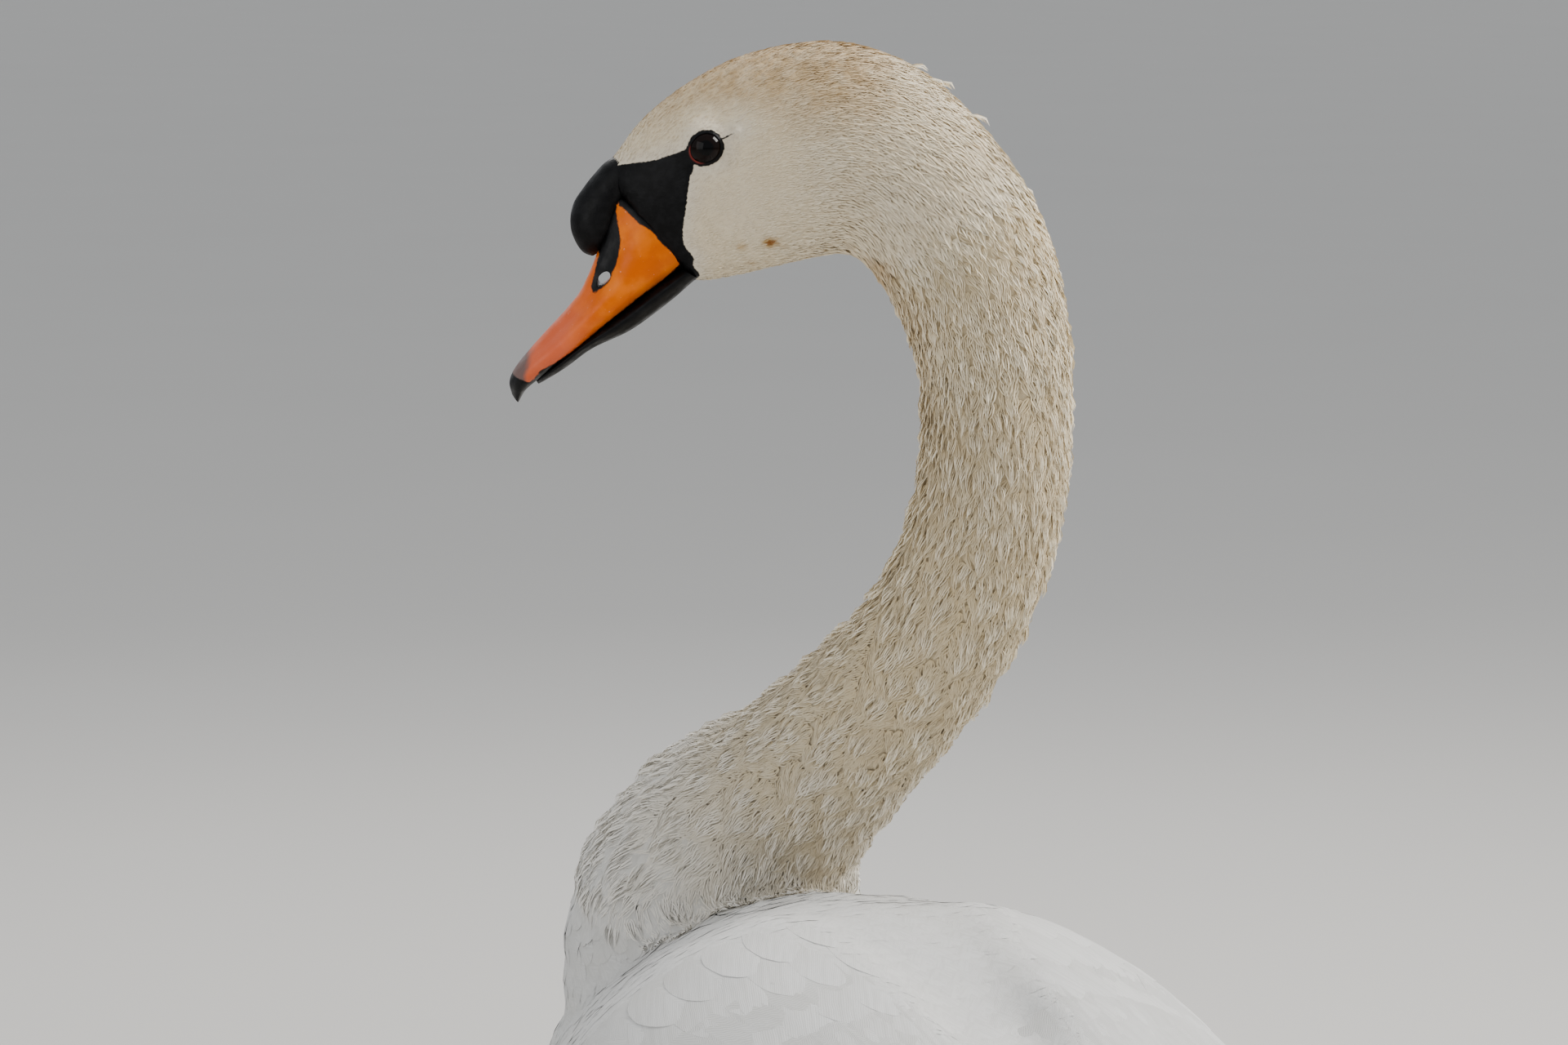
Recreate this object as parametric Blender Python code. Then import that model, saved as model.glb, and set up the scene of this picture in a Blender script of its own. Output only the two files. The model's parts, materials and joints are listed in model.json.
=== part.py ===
"""A life-size mute swan, standing with its neck drawn back and its head turned to its left.

Metres, +Z up. The body faces -X, its left side is -Y and its soles lie at z = 0. Every flesh piece
is lofted through rings to the tips of its feathers, and each joint between pieces is a thin gap.
"""

import math
from collections import namedtuple

import bmesh
import bpy
from mathutils import Matrix, Vector

# Driving dimensions
GAP = 0.0004  # between two pieces that meet
NECK_BASE_X = -0.160  # middle of the neck where it leaves the shoulders
NECK_DRAWN_BACK = 0.170  # from the neck's base back to its rearmost bend
NECK_BOWED_RIGHT = 0.057  # from the body's middle plane out to that bend
HEAD_TURN = math.radians(70)  # the head's heading, turned left from the body's
STANCE = 0.078  # from the middle plane to each foot's middle
FOOT_X = 0.062  # middle of the heel pad
TOE_LENGTHS = {"inner": 0.104, "middle": 0.140, "outer": 0.128}
EYE_RADIUS = 0.0082

BEND = Vector((NECK_BASE_X + NECK_DRAWN_BACK, NECK_BOWED_RIGHT, 0))
BACK_TO_BASE = Vector((NECK_BASE_X, 0, 0)) - BEND
NECK_HEADING = BACK_TO_BASE.normalized()

FORWARD = Vector((-1, 0, 0))
LEFT = Vector((0, -1, 0))
UP = Vector((0, 0, 1))

# A ring is an oval in the plane of its side and up directions. A power of 2 gives an ellipse, and
# a higher one fuller corners.
Ring = namedtuple("Ring", "centre side up half_side half_up power")


# Building helpers


def clear_scene():
    for obj in list(bpy.data.objects):
        bpy.data.objects.remove(obj, do_unlink=True)


def material(name, colour, roughness):
    made = bpy.data.materials.new(name)
    made.use_nodes = True
    made.diffuse_color = (*colour, 1)
    shader = made.node_tree.nodes["Principled BSDF"]
    shader.inputs["Base Color"].default_value = (*colour, 1)
    shader.inputs["Roughness"].default_value = roughness
    shader.inputs["Metallic"].default_value = 0.0
    return made


def flow(stations, steps):
    """Points on a smooth curve through the stations, with this many steps between two of them."""
    ends = [stations[0], *stations, stations[-1]]
    made = []
    for a, b, c, d in zip(ends, ends[1:], ends[2:], ends[3:]):
        for step in range(steps):
            t = step / steps
            made.append(
                tuple(
                    q + t / 2 * (r - p + t * (2 * p - 5 * q + 4 * r - s + t * (3 * (q - r) + s - p)))
                    for p, q, r, s in zip(a, b, c, d)
                )
            )
    return [*made, tuple(stations[-1])]


def ring_points(ring, count, grow=0.0):
    points = []
    for k in range(count):
        angle = 2 * math.pi * k / count
        c, s = math.cos(angle), math.sin(angle)
        across = math.copysign(abs(c) ** (2 / ring.power), c) * (ring.half_side + grow)
        above = math.copysign(abs(s) ** (2 / ring.power), s) * (ring.half_up + grow)
        points.append(ring.centre + across * ring.side + above * ring.up)
    return points


def shifted(ring, towards, distance):
    """The ring moved along its own normal, to the side on which the other ring lies."""
    normal = ring.side.cross(ring.up).normalized()
    if normal.dot(towards.centre - ring.centre) < 0:
        normal = -normal
    return ring._replace(centre=ring.centre + distance * normal)


def new_object(name, mesh_builder, finish, parent):
    mesh = bpy.data.meshes.new(name)
    bmesh.ops.recalc_face_normals(mesh_builder, faces=mesh_builder.faces)
    mesh_builder.to_mesh(mesh)
    mesh_builder.free()
    mesh.materials.append(finish)
    mesh.shade_smooth()
    obj = bpy.data.objects.new(name, mesh)
    bpy.context.scene.collection.objects.link(obj)
    obj.parent = parent
    return obj


def skin_loops(loops):
    """A closed mesh through loops of equally many points, with a fan across each end."""
    built = bmesh.new()
    rows = [[built.verts.new(p) for p in loop] for loop in loops]
    count = len(rows[0])
    for low, high in zip(rows, rows[1:]):
        for k in range(count):
            after = (k + 1) % count
            built.faces.new((low[k], low[after], high[after]))
            built.faces.new((low[k], high[after], high[k]))
    for row in (rows[0], rows[-1]):
        hub = built.verts.new(sum((v.co for v in row), Vector()) / count)
        for k in range(count):
            built.faces.new((row[k], row[(k + 1) % count], hub))
    return built


def loft(name, rings, finish, parent, count=20, grow=0.0):
    """A solid through the rings. A growth below zero draws its flat ends back from a neighbour."""
    return new_object(name, skin_loops([ring_points(r, count, grow) for r in rings]), finish, parent)


def cutter(name, rings, parent, count=20):
    """A hidden copy of a lofted shape, larger by the gap, that clears room for it in a neighbour."""
    ends = [shifted(rings[0], rings[1], -GAP), *rings[1:-1], shifted(rings[-1], rings[-2], -GAP)]
    made = loft("cutter_" + name, ends, FINISHES["cutter"], parent, count, GAP)
    made.hide_render = True
    made.display_type = "WIRE"
    return made


def cut(obj, *cutters):
    for tool in cutters:
        made = obj.modifiers.new("clear_" + tool.name, "BOOLEAN")
        made.operation = "DIFFERENCE"
        made.solver = "EXACT"
        made.object = tool


def with_gaps(rings, start=True, end=True):
    """The same rings with the first and last drawn in by half a gap, where a neighbour begins."""
    first = shifted(rings[0], rings[1], GAP / 2) if start else rings[0]
    last = shifted(rings[-1], rings[-2], GAP / 2) if end else rings[-1]
    return [first, *rings[1:-1], last]


# Trunk, wings and tail, in stations along the body


def upright_rings(stations, steps, power):
    """Rings across the body, from stations of x, top, bottom and half-width."""
    return [
        Ring(Vector((x, 0, (top + bottom) / 2)), LEFT, UP, half_width, (top - bottom) / 2, power)
        for x, top, bottom, half_width in flow(stations, steps)
    ]


def trunk_rings():
    stations = (
        (-0.243, 0.336, 0.294, 0.014),
        (-0.236, 0.369, 0.246, 0.047),
        (-0.200, 0.388, 0.200, 0.077),
        (-0.140, 0.404, 0.168, 0.095),
        (-0.060, 0.431, 0.149, 0.117),
        (0.035, 0.446, 0.146, 0.137),
        (0.125, 0.425, 0.168, 0.126),
        (0.200, 0.389, 0.204, 0.094),
        (0.265, 0.359, 0.246, 0.058),
        (0.305, 0.338, 0.280, 0.032),
        (0.318, 0.325, 0.297, 0.012),
    )
    return upright_rings(stations, 2, 2.1)


def tail_rings():
    stations = (
        (0.270, 0.345, 0.282, 0.040),
        (0.325, 0.334, 0.291, 0.054),
        (0.385, 0.323, 0.299, 0.062),
        (0.435, 0.315, 0.303, 0.051),
        (0.470, 0.311, 0.305, 0.024),
        (0.482, 0.310, 0.306, 0.006),
    )
    return upright_rings(stations, 2, 2.0)


def wing_loops(side):
    """A folded wing: a shell over the side of the body, from the wrist to the flight feathers' tips.

    Each station gives x, the middle height, half-height and half-width of the folded wings' outline,
    the angles from upright at which the shell starts and ends, and its inner side's share of the outer.
    """
    stations = (
        (-0.148, 0.332, 0.050, 0.082, 58, 78, 0.86),
        (-0.140, 0.320, 0.078, 0.094, 46, 90, 0.74),
        (-0.105, 0.297, 0.118, 0.113, 38, 106, 0.62),
        (-0.050, 0.294, 0.135, 0.137, 26, 117, 0.56),
        (0.025, 0.305, 0.147, 0.160, 13, 122, 0.54),
        (0.090, 0.306, 0.139, 0.158, 9, 119, 0.54),
        (0.155, 0.309, 0.126, 0.143, 8, 114, 0.53),
        (0.225, 0.318, 0.096, 0.105, 8, 105, 0.50),
        (0.295, 0.332, 0.060, 0.063, 8, 97, 0.44),
        (0.345, 0.344, 0.034, 0.036, 8, 93, 0.36),
        (0.376, 0.352, 0.012, 0.016, 10, 90, 0.40),
    )
    arc = 8
    loops = []
    for x, middle, half_height, half_width, start, end, inner in flow(stations, 2):
        loop = []
        for k in range(2 * arc):
            outside = k < arc
            share = k / (arc - 1) if outside else (2 * arc - 1 - k) / (arc - 1)
            angle = math.radians(start + share * (end - start))
            # The inner side runs out to meet the outer one at both edges.
            reach = 1.0 if outside else inner + (1 - inner) * 0.75 * abs(2 * share - 1) ** 3
            across = half_width * math.sin(angle) * reach
            above = half_height * math.cos(angle) * reach
            loop.append(Vector((x, side * across, middle + above)))
        loops.append(loop)
    return loops


# Neck and head


def head_ribs():
    """Rings in the head's own plane, from the bill's root back over the head and down the neck.

    Each station gives the forward distance and height of the rib's low and high ends, and its
    half-width. The low ends gather at the throat, so that the ribs fan round the nape.
    """
    stations = (
        (0.1202, 0.6862, 0.1565, 0.7312, 0.0160),
        (0.1140, 0.6868, 0.1500, 0.7396, 0.0188),
        (0.1060, 0.6880, 0.1395, 0.7528, 0.0222),
        (0.0935, 0.6908, 0.1190, 0.7680, 0.0258),
        (0.0783, 0.6945, 0.0950, 0.7782, 0.0284),
        (0.0640, 0.6972, 0.0612, 0.7816, 0.0298),
        (0.0565, 0.6958, 0.0271, 0.7682, 0.0304),
        (0.0493, 0.6883, -0.0051, 0.7350, 0.0308),
        (0.0400, 0.6720, -0.0228, 0.6998, 0.0308),
        (0.0321, 0.6494, -0.0305, 0.6591, 0.0308),
    )
    made = []
    for low_x, low_z, high_x, high_z, half_width in flow(stations, 3):
        low, high = Vector((-low_x, 0, low_z)), Vector((-high_x, 0, high_z))
        up = high - low
        centre = (low + high) / 2
        made.append(Ring(centre, LEFT, up.normalized(), half_width, up.length / 2, 2.15))
    return made


def neck_rings(first):
    """Round rings down the neck from the head's last ring, with no twist from one to the next."""
    stations = (
        (0.0000, 0.6350, 0.0310),
        (0.0031, 0.6050, 0.0312),
        (0.0162, 0.5696, 0.0319),
        (0.0448, 0.5315, 0.0330),
        (0.0946, 0.4905, 0.0366),
        (0.1328, 0.4598, 0.0424),
        (0.1610, 0.4360, 0.0535),
        (0.1790, 0.4080, 0.0655),
        (0.1835, 0.3720, 0.0700),
        (0.1810, 0.3380, 0.0640),
    )
    samples = flow(stations, 2)
    centres = [BEND + forward * NECK_HEADING + z * UP for forward, z, _ in samples]
    side, up = first.side, first.up
    made = []
    for k, (_, _, radius) in enumerate(samples):
        ahead = (centres[min(k + 1, len(centres) - 1)] - centres[max(k - 1, 0)]).normalized()
        side = (side - side.dot(ahead) * ahead).normalized()
        up = side.cross(ahead) if side.cross(ahead).dot(up) > 0 else ahead.cross(side)
        made.append(Ring(centres[k], side, up, radius, radius, 2.0))
    return made


def in_world(ring, frame):
    turn = frame.to_3x3()
    return ring._replace(centre=frame @ ring.centre, side=turn @ ring.side, up=turn @ ring.up)


# Bill, knob and eyes, in the head's own plane


def bill_rings(stations, power):
    made = []
    for low_x, low_z, high_x, high_z, half_width in flow(stations, 2):
        low, high = Vector((-low_x, 0, low_z)), Vector((-high_x, 0, high_z))
        up = high - low
        made.append(Ring((low + high) / 2, LEFT, up.normalized(), half_width, up.length / 2, power))
    return made


def upper_bill_rings():
    stations = (
        (0.1215, 0.6925, 0.1530, 0.7200, 0.0160),
        (0.1320, 0.6861, 0.1576, 0.7010, 0.0163),
        (0.1442, 0.6772, 0.1640, 0.6852, 0.0160),
        (0.1563, 0.6675, 0.1705, 0.6762, 0.0158),
        (0.1660, 0.6594, 0.1783, 0.6678, 0.0160),
        (0.1750, 0.6530, 0.1860, 0.6592, 0.0155),
        (0.1820, 0.6480, 0.1914, 0.6523, 0.0130),
        (0.1868, 0.6440, 0.1934, 0.6472, 0.0090),
        (0.1900, 0.6388, 0.1926, 0.6425, 0.0030),
    )
    return bill_rings(stations, 2.3)


def lower_bill_rings():
    stations = (
        (0.1215, 0.6862, 0.1275, 0.6915, 0.0130),
        (0.1308, 0.6782, 0.1370, 0.6850, 0.0137),
        (0.1453, 0.6677, 0.1515, 0.6740, 0.0137),
        (0.1599, 0.6608, 0.1650, 0.6640, 0.0134),
        (0.1712, 0.6527, 0.1745, 0.6565, 0.0120),
        (0.1790, 0.6478, 0.1808, 0.6515, 0.0080),
        (0.1818, 0.6462, 0.1828, 0.6480, 0.0030),
    )
    return bill_rings(stations, 2.2)


def knob_rings():
    """Rings of an egg leaning back over the bill, fuller at its low end."""
    low, high = Vector((-0.1600, 0, 0.6965)), Vector((-0.1520, 0, 0.7390))
    half_depth, half_width, fullness, steps = 0.01005, 0.0092, 0.65, 12
    across = (high - low).cross(LEFT).normalized()
    made = []
    for k in range(1, steps):
        angle = math.pi * k / steps
        size = math.sin(angle) * (1 + fullness * math.cos(angle))
        middle = (low + high) / 2 - math.cos(angle) * (high - low) / 2
        made.append(Ring(middle, LEFT, across, half_width * size, half_depth * size, 2.0))
    return made


def eye(name, side, grow=0.0):
    """One eyeball, whose middle lies this far from the head's middle plane."""
    forward, height, out = 0.1150, 0.7410, 0.0185
    built = bmesh.new()
    bmesh.ops.create_uvsphere(built, u_segments=14, v_segments=8, radius=EYE_RADIUS + grow)
    made = new_object(name, built, FINISHES["eye"], HEAD_FRAME)
    made.location = (-forward, -side * out, height)
    return made


# Legs and feet


def leg_rings(side, stations):
    """Level rings down a leg, from stations of x, share of the stance, height and two half-sizes."""
    return [
        Ring(Vector((x, side * STANCE * share, z)), LEFT, FORWARD, half_wide, half_deep, 2.0)
        for x, share, z, half_deep, half_wide in flow(stations, 2)
    ]


def thigh_rings(side):
    stations = (
        (0.046, 0.80, 0.232, 0.052, 0.039),
        (0.055, 0.90, 0.196, 0.047, 0.036),
        (0.069, 0.97, 0.160, 0.034, 0.027),
        (0.080, 1.00, 0.136, 0.020, 0.017),
        (0.085, 1.00, 0.126, 0.0135, 0.0115),
    )
    return leg_rings(side, stations)


def shank_rings(side):
    stations = (
        (0.085, 1.00, 0.1256, 0.0115, 0.0095),
        (0.087, 1.00, 0.1130, 0.0125, 0.0110),
        (0.084, 1.00, 0.0980, 0.0098, 0.0078),
        (0.076, 1.00, 0.0620, 0.0082, 0.0062),
        (0.069, 1.00, 0.0330, 0.0088, 0.0076),
        (0.066, 1.00, 0.0214, 0.0105, 0.0095),
    )
    return leg_rings(side, stations)


def foot(name, side):
    """A webbed foot with a flat sole: three toes and their webs spread forward of the heel pad."""
    toes = (
        (-150, 0.016, 0.012),
        (-78, 0.022, 0.012),
        (-30, TOE_LENGTHS["inner"], 0.0085),
        (2, TOE_LENGTHS["middle"], 0.0095),
        (31, TOE_LENGTHS["outer"], 0.0090),
        (78, 0.022, 0.012),
        (150, 0.016, 0.012),
        (180, 0.030, 0.008),
    )
    claw, web_height, rows, web_sag = 0.009, 0.0028, 4, 0.17
    directions = []
    for (at, length, rise), (next_at, next_length, _) in zip(toes, [*toes[1:], (210, 0.016, 0)]):
        clawed = length > 0.1
        if clawed:
            directions.append((at - 3.5, length - 0.004, 0.5 * rise))
        directions.append((at, length + (claw if clawed else 0), rise))
        if clawed:
            directions.append((at + 3.5, length - 0.004, 0.5 * rise))
        webbed = clawed and next_length > 0.1
        for share in (0.25, 0.5, 0.75):
            reach = (1 - share) * length + share * next_length
            if webbed:
                reach *= 1 - web_sag * math.sin(math.pi * share)
            elif next_length != length:
                reach = length * (next_length / length) ** (share**0.6 if clawed else share**1.7)
            height = web_height if webbed else 0.6 * rise
            directions.append((at + share * (next_at - at), reach, height))
    built = bmesh.new()
    top = []
    for row in range(1, rows + 1):
        share = row / rows
        ring = []
        for at, reach, rise in directions:
            angle = math.radians(at)
            heading = FORWARD * math.cos(angle) + Vector((0, side, 0)) * math.sin(angle)
            pad = 0.021 * (1 - share) ** 2
            crest = rise * (1 - 0.55 * share)
            ring.append(built.verts.new(heading * reach * share + UP * (max(crest, web_height * 0.7) + pad)))
        top.append(ring)
    sole = [built.verts.new((v.co.x, v.co.y, 0)) for v in top[-1]]
    crown = built.verts.new((0, 0, 0.0210))
    floor = built.verts.new((0, 0, 0))
    count = len(directions)
    for k in range(count):
        after = (k + 1) % count
        built.faces.new((crown, top[0][k], top[0][after]))
        for low, high in zip(top, top[1:]):
            built.faces.new((low[k], high[k], high[after], low[after]))
        built.faces.new((top[-1][k], sole[k], sole[after], top[-1][after]))
        built.faces.new((floor, sole[after], sole[k]))
    for v in top[0]:
        v.co.z = min(v.co.z, 0.0210)
    made = new_object(name, built, FINISHES["leg"], BODY_FRAME)
    made.location = (FOOT_X, side * STANCE, 0)
    return made


# The bird


def build_head_and_neck():
    """The head, bill, eyes and three lengths of neck. It gives back the neck's lowest rings."""
    plumage, head_frame = FINISHES["cream_plumage"], HEAD_FRAME
    ribs = head_ribs()
    nape = 13  # the ring at which the head ends and the neck begins
    head = loft("head", with_gaps(ribs[: nape + 1]), plumage, head_frame)
    for name, side in (("left", 1), ("right", -1)):
        eye("eye_" + name, side)
        socket = eye("cutter_eye_" + name, side, GAP)
        socket.hide_render = True
        socket.display_type = "WIRE"
        cut(head, socket)

    upper, lower, knob = upper_bill_rings(), lower_bill_rings(), knob_rings()
    head_cutter = cutter("head", ribs[: nape + 1], head_frame)
    upper_cutter = cutter("upper_bill", upper, head_frame, 20)
    cut(loft("bill_upper", upper, FINISHES["bill"], head_frame, 20), head_cutter)
    cut(loft("bill_lower", lower, FINISHES["bill_black"], head_frame, 16), head_cutter, upper_cutter)
    cut(loft("knob", knob, FINISHES["bill_black"], head_frame, 16), head_cutter, upper_cutter)

    frame = Matrix.Translation(BEND) @ Matrix.Rotation(HEAD_TURN, 4, "Z")
    upper_neck = [in_world(ring, frame) for ring in ribs[nape:]]
    lower_neck = neck_rings(upper_neck[-1])[1:]
    whole = [*upper_neck, *lower_neck]
    first, second = len(upper_neck) + 1, len(upper_neck) + 8
    loft("neck_upper", with_gaps(whole[: first + 1]), plumage, BODY_FRAME)
    loft("neck_middle", with_gaps(whole[first : second + 1]), plumage, BODY_FRAME)
    base = with_gaps(whole[second:], end=False)
    return loft("neck_lower", base, FINISHES["white_plumage"], BODY_FRAME), base


def build_body():
    white = FINISHES["white_plumage"]
    loft("trunk", trunk_rings(), white, BODY_FRAME, 24)
    trunk_cutter = cutter("trunk", trunk_rings(), BODY_FRAME, 24)
    neck, base = build_head_and_neck()
    cut(neck, trunk_cutter)
    neck_cutter = cutter("neck_lower", base, BODY_FRAME)
    cut(loft("tail", tail_rings(), white, BODY_FRAME, 16), trunk_cutter)
    tail_cutter = cutter("tail", tail_rings(), BODY_FRAME, 16)
    for name, side in (("left", -1), ("right", 1)):
        wing = new_object("wing_" + name, skin_loops(wing_loops(side)), white, BODY_FRAME)
        cut(wing, neck_cutter, trunk_cutter, tail_cutter)
        cut(loft("thigh_" + name, thigh_rings(side), white, BODY_FRAME, 14), trunk_cutter)
        loft("shank_" + name, shank_rings(side), FINISHES["leg"], BODY_FRAME, 10)
        foot("foot_" + name, side)


def centre_on_origin():
    """Moves the whole bird so that the middle of its bounding box stands over the origin."""
    bpy.context.view_layer.update()
    graph = bpy.context.evaluated_depsgraph_get()
    corners = [
        obj.matrix_world @ Vector(corner)
        for obj in bpy.data.objects
        if obj.type == "MESH" and not obj.hide_render
        for corner in obj.evaluated_get(graph).bound_box
    ]
    for axis in (0, 1):
        values = [corner[axis] for corner in corners]
        BODY_FRAME.location[axis] = -(min(values) + max(values)) / 2


clear_scene()
FINISHES = {
    "white_plumage": material("white_plumage", (0.82, 0.81, 0.78), 0.75),
    "cream_plumage": material("cream_plumage", (0.78, 0.71, 0.58), 0.8),
    "bill": material("orange_bill", (0.78, 0.24, 0.06), 0.45),
    "bill_black": material("black_bill", (0.015, 0.015, 0.016), 0.4),
    "eye": material("dark_eye", (0.012, 0.008, 0.006), 0.08),
    "leg": material("dark_leg", (0.045, 0.045, 0.045), 0.6),
    "cutter": material("cutter", (0.9, 0.1, 0.1), 0.5),
}
BODY_FRAME = bpy.data.objects.new("body_frame", None)
HEAD_FRAME = bpy.data.objects.new("head_frame", None)
for frame in (BODY_FRAME, HEAD_FRAME):
    bpy.context.scene.collection.objects.link(frame)
HEAD_FRAME.parent = BODY_FRAME
HEAD_FRAME.location = BEND
HEAD_FRAME.rotation_euler.z = HEAD_TURN
build_body()
centre_on_origin()
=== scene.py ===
import json
import math

import bmesh
import bpy
import numpy as np
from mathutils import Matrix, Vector
from mathutils import noise as mathNoise
from mathutils.bvhtree import BVHTree

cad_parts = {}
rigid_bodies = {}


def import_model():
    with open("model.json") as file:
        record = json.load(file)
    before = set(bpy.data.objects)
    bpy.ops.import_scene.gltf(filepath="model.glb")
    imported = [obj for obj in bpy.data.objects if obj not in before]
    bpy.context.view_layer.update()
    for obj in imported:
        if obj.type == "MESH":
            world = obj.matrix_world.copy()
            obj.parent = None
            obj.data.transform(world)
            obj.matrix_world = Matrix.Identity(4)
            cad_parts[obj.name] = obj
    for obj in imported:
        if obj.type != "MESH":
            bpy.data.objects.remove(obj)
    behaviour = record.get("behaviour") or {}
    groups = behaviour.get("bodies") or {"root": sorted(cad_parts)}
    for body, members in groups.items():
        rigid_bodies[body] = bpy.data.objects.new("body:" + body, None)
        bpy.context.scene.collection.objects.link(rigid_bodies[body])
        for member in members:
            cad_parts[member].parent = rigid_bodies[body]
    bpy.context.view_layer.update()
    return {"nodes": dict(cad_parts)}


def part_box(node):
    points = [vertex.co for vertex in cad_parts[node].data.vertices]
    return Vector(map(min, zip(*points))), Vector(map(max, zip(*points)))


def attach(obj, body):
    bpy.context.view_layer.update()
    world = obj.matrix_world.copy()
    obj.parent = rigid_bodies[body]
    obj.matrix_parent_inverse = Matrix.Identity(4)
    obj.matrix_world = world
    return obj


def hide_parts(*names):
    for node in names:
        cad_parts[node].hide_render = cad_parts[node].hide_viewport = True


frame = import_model()

up = np.array([0.0, 0.0, 1.0])


def centreOf(node):
    low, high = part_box(node)
    return np.array((low + high) / 2)


headPlan = {
    "eyeForward": 0.115,  # from the neck's rearmost bend to the eyes, along the head
    "neckHeading": (-0.9484, -0.3170),  # from that bend to the neck's base, on the floor plan
}
eyeLeft, eyeRight = centreOf("eye_left"), centreOf("eye_right")
eyeRadius = float((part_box("eye_left")[1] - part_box("eye_left")[0]).z / 2)
headLeft = (eyeLeft - eyeRight) / np.linalg.norm(eyeLeft - eyeRight)
headForward = np.cross(headLeft, up)
bend = (eyeLeft + eyeRight) / 2 - headPlan["eyeForward"] * headForward
bend[2] = 0.0


def inHead(points):
    # distance forward of the bend, distance to the head's left, and height
    away = np.asarray(points) - bend
    return np.stack([away @ headForward, away @ headLeft, np.asarray(points)[:, 2]], axis=1)


def fromHead(forward, left, height):
    place = bend + np.multiply.outer(forward, headForward) + np.multiply.outer(left, headLeft)
    place[..., 2] = height
    return place


# the middle of the head and neck, from the bill's root to inside the breast
headMiddle = [(0.1384, 0.7087), (0.1228, 0.7204), (0.1062, 0.7294), (0.0867, 0.7364), (0.0626, 0.7394),
              (0.0418, 0.7320), (0.0221, 0.7117), (0.0086, 0.6859), (0.0008, 0.6543)]
neckMiddle = [(0.0000, 0.6350), (0.0031, 0.6050), (0.0162, 0.5696), (0.0448, 0.5315), (0.0946, 0.4905),
              (0.1328, 0.4598), (0.1610, 0.4360), (0.1790, 0.4080), (0.1835, 0.3720), (0.1820, 0.3300)]


def smoothLine(points, steps):
    ends = [points[0], *points, points[-1]]
    made = []
    for a, b, c, d in zip(ends, ends[1:], ends[2:], ends[3:]):
        for step in range(steps):
            t = step / steps
            made.append([q + t / 2 * (r - p + t * (2 * p - 5 * q + 4 * r - s + t * (3 * (q - r) + s - p)))
                         for p, q, r, s in zip(a, b, c, d)])
    return np.array([*made, list(points[-1])])


def neckLine():
    heading = np.array([*headPlan["neckHeading"], 0.0])
    stations = [fromHead(g, 0.0, h) for g, h in headMiddle]
    stations += [bend + g * heading + h * up for g, h in neckMiddle]
    return smoothLine([tuple(p) for p in stations], 10)


line = neckLine()
lineWay = np.gradient(line, axis=0)
lineWay /= np.linalg.norm(lineWay, axis=1)[:, None]
lineRun = np.concatenate([[0], np.cumsum(np.linalg.norm(np.diff(line, axis=0), axis=1))])


def alongNeck(points):
    # nearest sample of the middle line, found in blocks
    found = np.empty(len(points), int)
    for start in range(0, len(points), 4000):
        block = points[start:start + 4000]
        found[start:start + 4000] = ((block[:, None, :] - line[None]) ** 2).sum(-1).argmin(1)
    return found


def smoothStep(low, high, value):
    t = np.clip((value - low) / (high - low), 0, 1)
    return t * t * (3 - 2 * t)


def shapeDistance(outline, points):
    # distance to a closed outline, positive inside it
    outline = np.array(outline)
    best = np.full(len(points), 1e9)
    inside = np.zeros(len(points), bool)
    for a, b in zip(outline, np.roll(outline, -1, axis=0)):
        edge = b - a
        t = np.clip(((points - a) @ edge) / (edge @ edge), 0, 1)
        best = np.minimum(best, np.linalg.norm(points - a - t[:, None] * edge, axis=1))
        crosses = (a[1] > points[:, 1]) != (b[1] > points[:, 1])
        with np.errstate(divide="ignore", invalid="ignore"):
            inside ^= crosses & (points[:, 0] < edge[0] * (points[:, 1] - a[1]) / edge[1] + a[0])
    return np.where(inside, best, -best)


def rounded(outline, steps=4):
    return smoothLine([*outline, outline[0]], steps)[:-1]


def coordinates(mesh):
    co = np.empty(len(mesh.vertices) * 3)
    mesh.vertices.foreach_get("co", co)
    return co.reshape(-1, 3)


def normalsOf(mesh):
    got = np.empty(len(mesh.vertices) * 3, np.float32)
    mesh.vertex_normals.foreach_get("vector", got)
    return got.reshape(-1, 3).astype(float)


def cornerVertices(mesh):
    got = np.empty(len(mesh.loops), int)
    mesh.loops.foreach_get("vertex_index", got)
    return got


def writeAttribute(mesh, name, values):
    kind = "FLOAT_VECTOR" if np.ndim(values) == 2 else "FLOAT"
    held = mesh.attributes.get(name) or mesh.attributes.new(name, kind, "POINT")
    held.data.foreach_set("vector" if kind == "FLOAT_VECTOR" else "value",
                          np.ascontiguousarray(values, np.float32).ravel())


def stitch(built, rings):
    # quads between each ring of vertices and the next
    for first, second in zip(rings, rings[1:]):
        for a, b, c, d in zip(first, first[1:] + first[:1], second[1:] + second[:1], second):
            built.faces.new((a, b, c, d))


def capped(built, rings):
    stitch(built, rings)
    built.faces.new(reversed(rings[0]))
    built.faces.new(rings[-1])


def meshOf(built, name):
    mesh = bpy.data.meshes.new(name)
    built.to_mesh(mesh)
    built.free()
    return mesh


def moveTo(mesh, co):
    mesh.vertices.foreach_set("co", co.astype(np.float32).ravel())
    mesh.update()


def newObject(name, mesh):
    obj = bpy.data.objects.new(name, mesh)
    bpy.context.scene.collection.objects.link(obj)
    return obj


def evaluated(obj, name):
    bpy.context.view_layer.update()
    graph = bpy.context.evaluated_depsgraph_get()
    mesh = bpy.data.meshes.new_from_object(obj.evaluated_get(graph), preserve_all_data_layers=True, depsgraph=graph)
    mesh.name = name
    return mesh


def newMaterial(name, roughness, **uniform):
    made = bpy.data.materials.new(name)
    made.use_nodes = True
    tree = made.node_tree
    shader = tree.nodes["Principled BSDF"]
    shader.inputs["Roughness"].default_value = roughness
    for socket, value in uniform.items():
        shader.inputs[socket.replace("_", " ")].default_value = value
    return made, tree, shader


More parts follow.
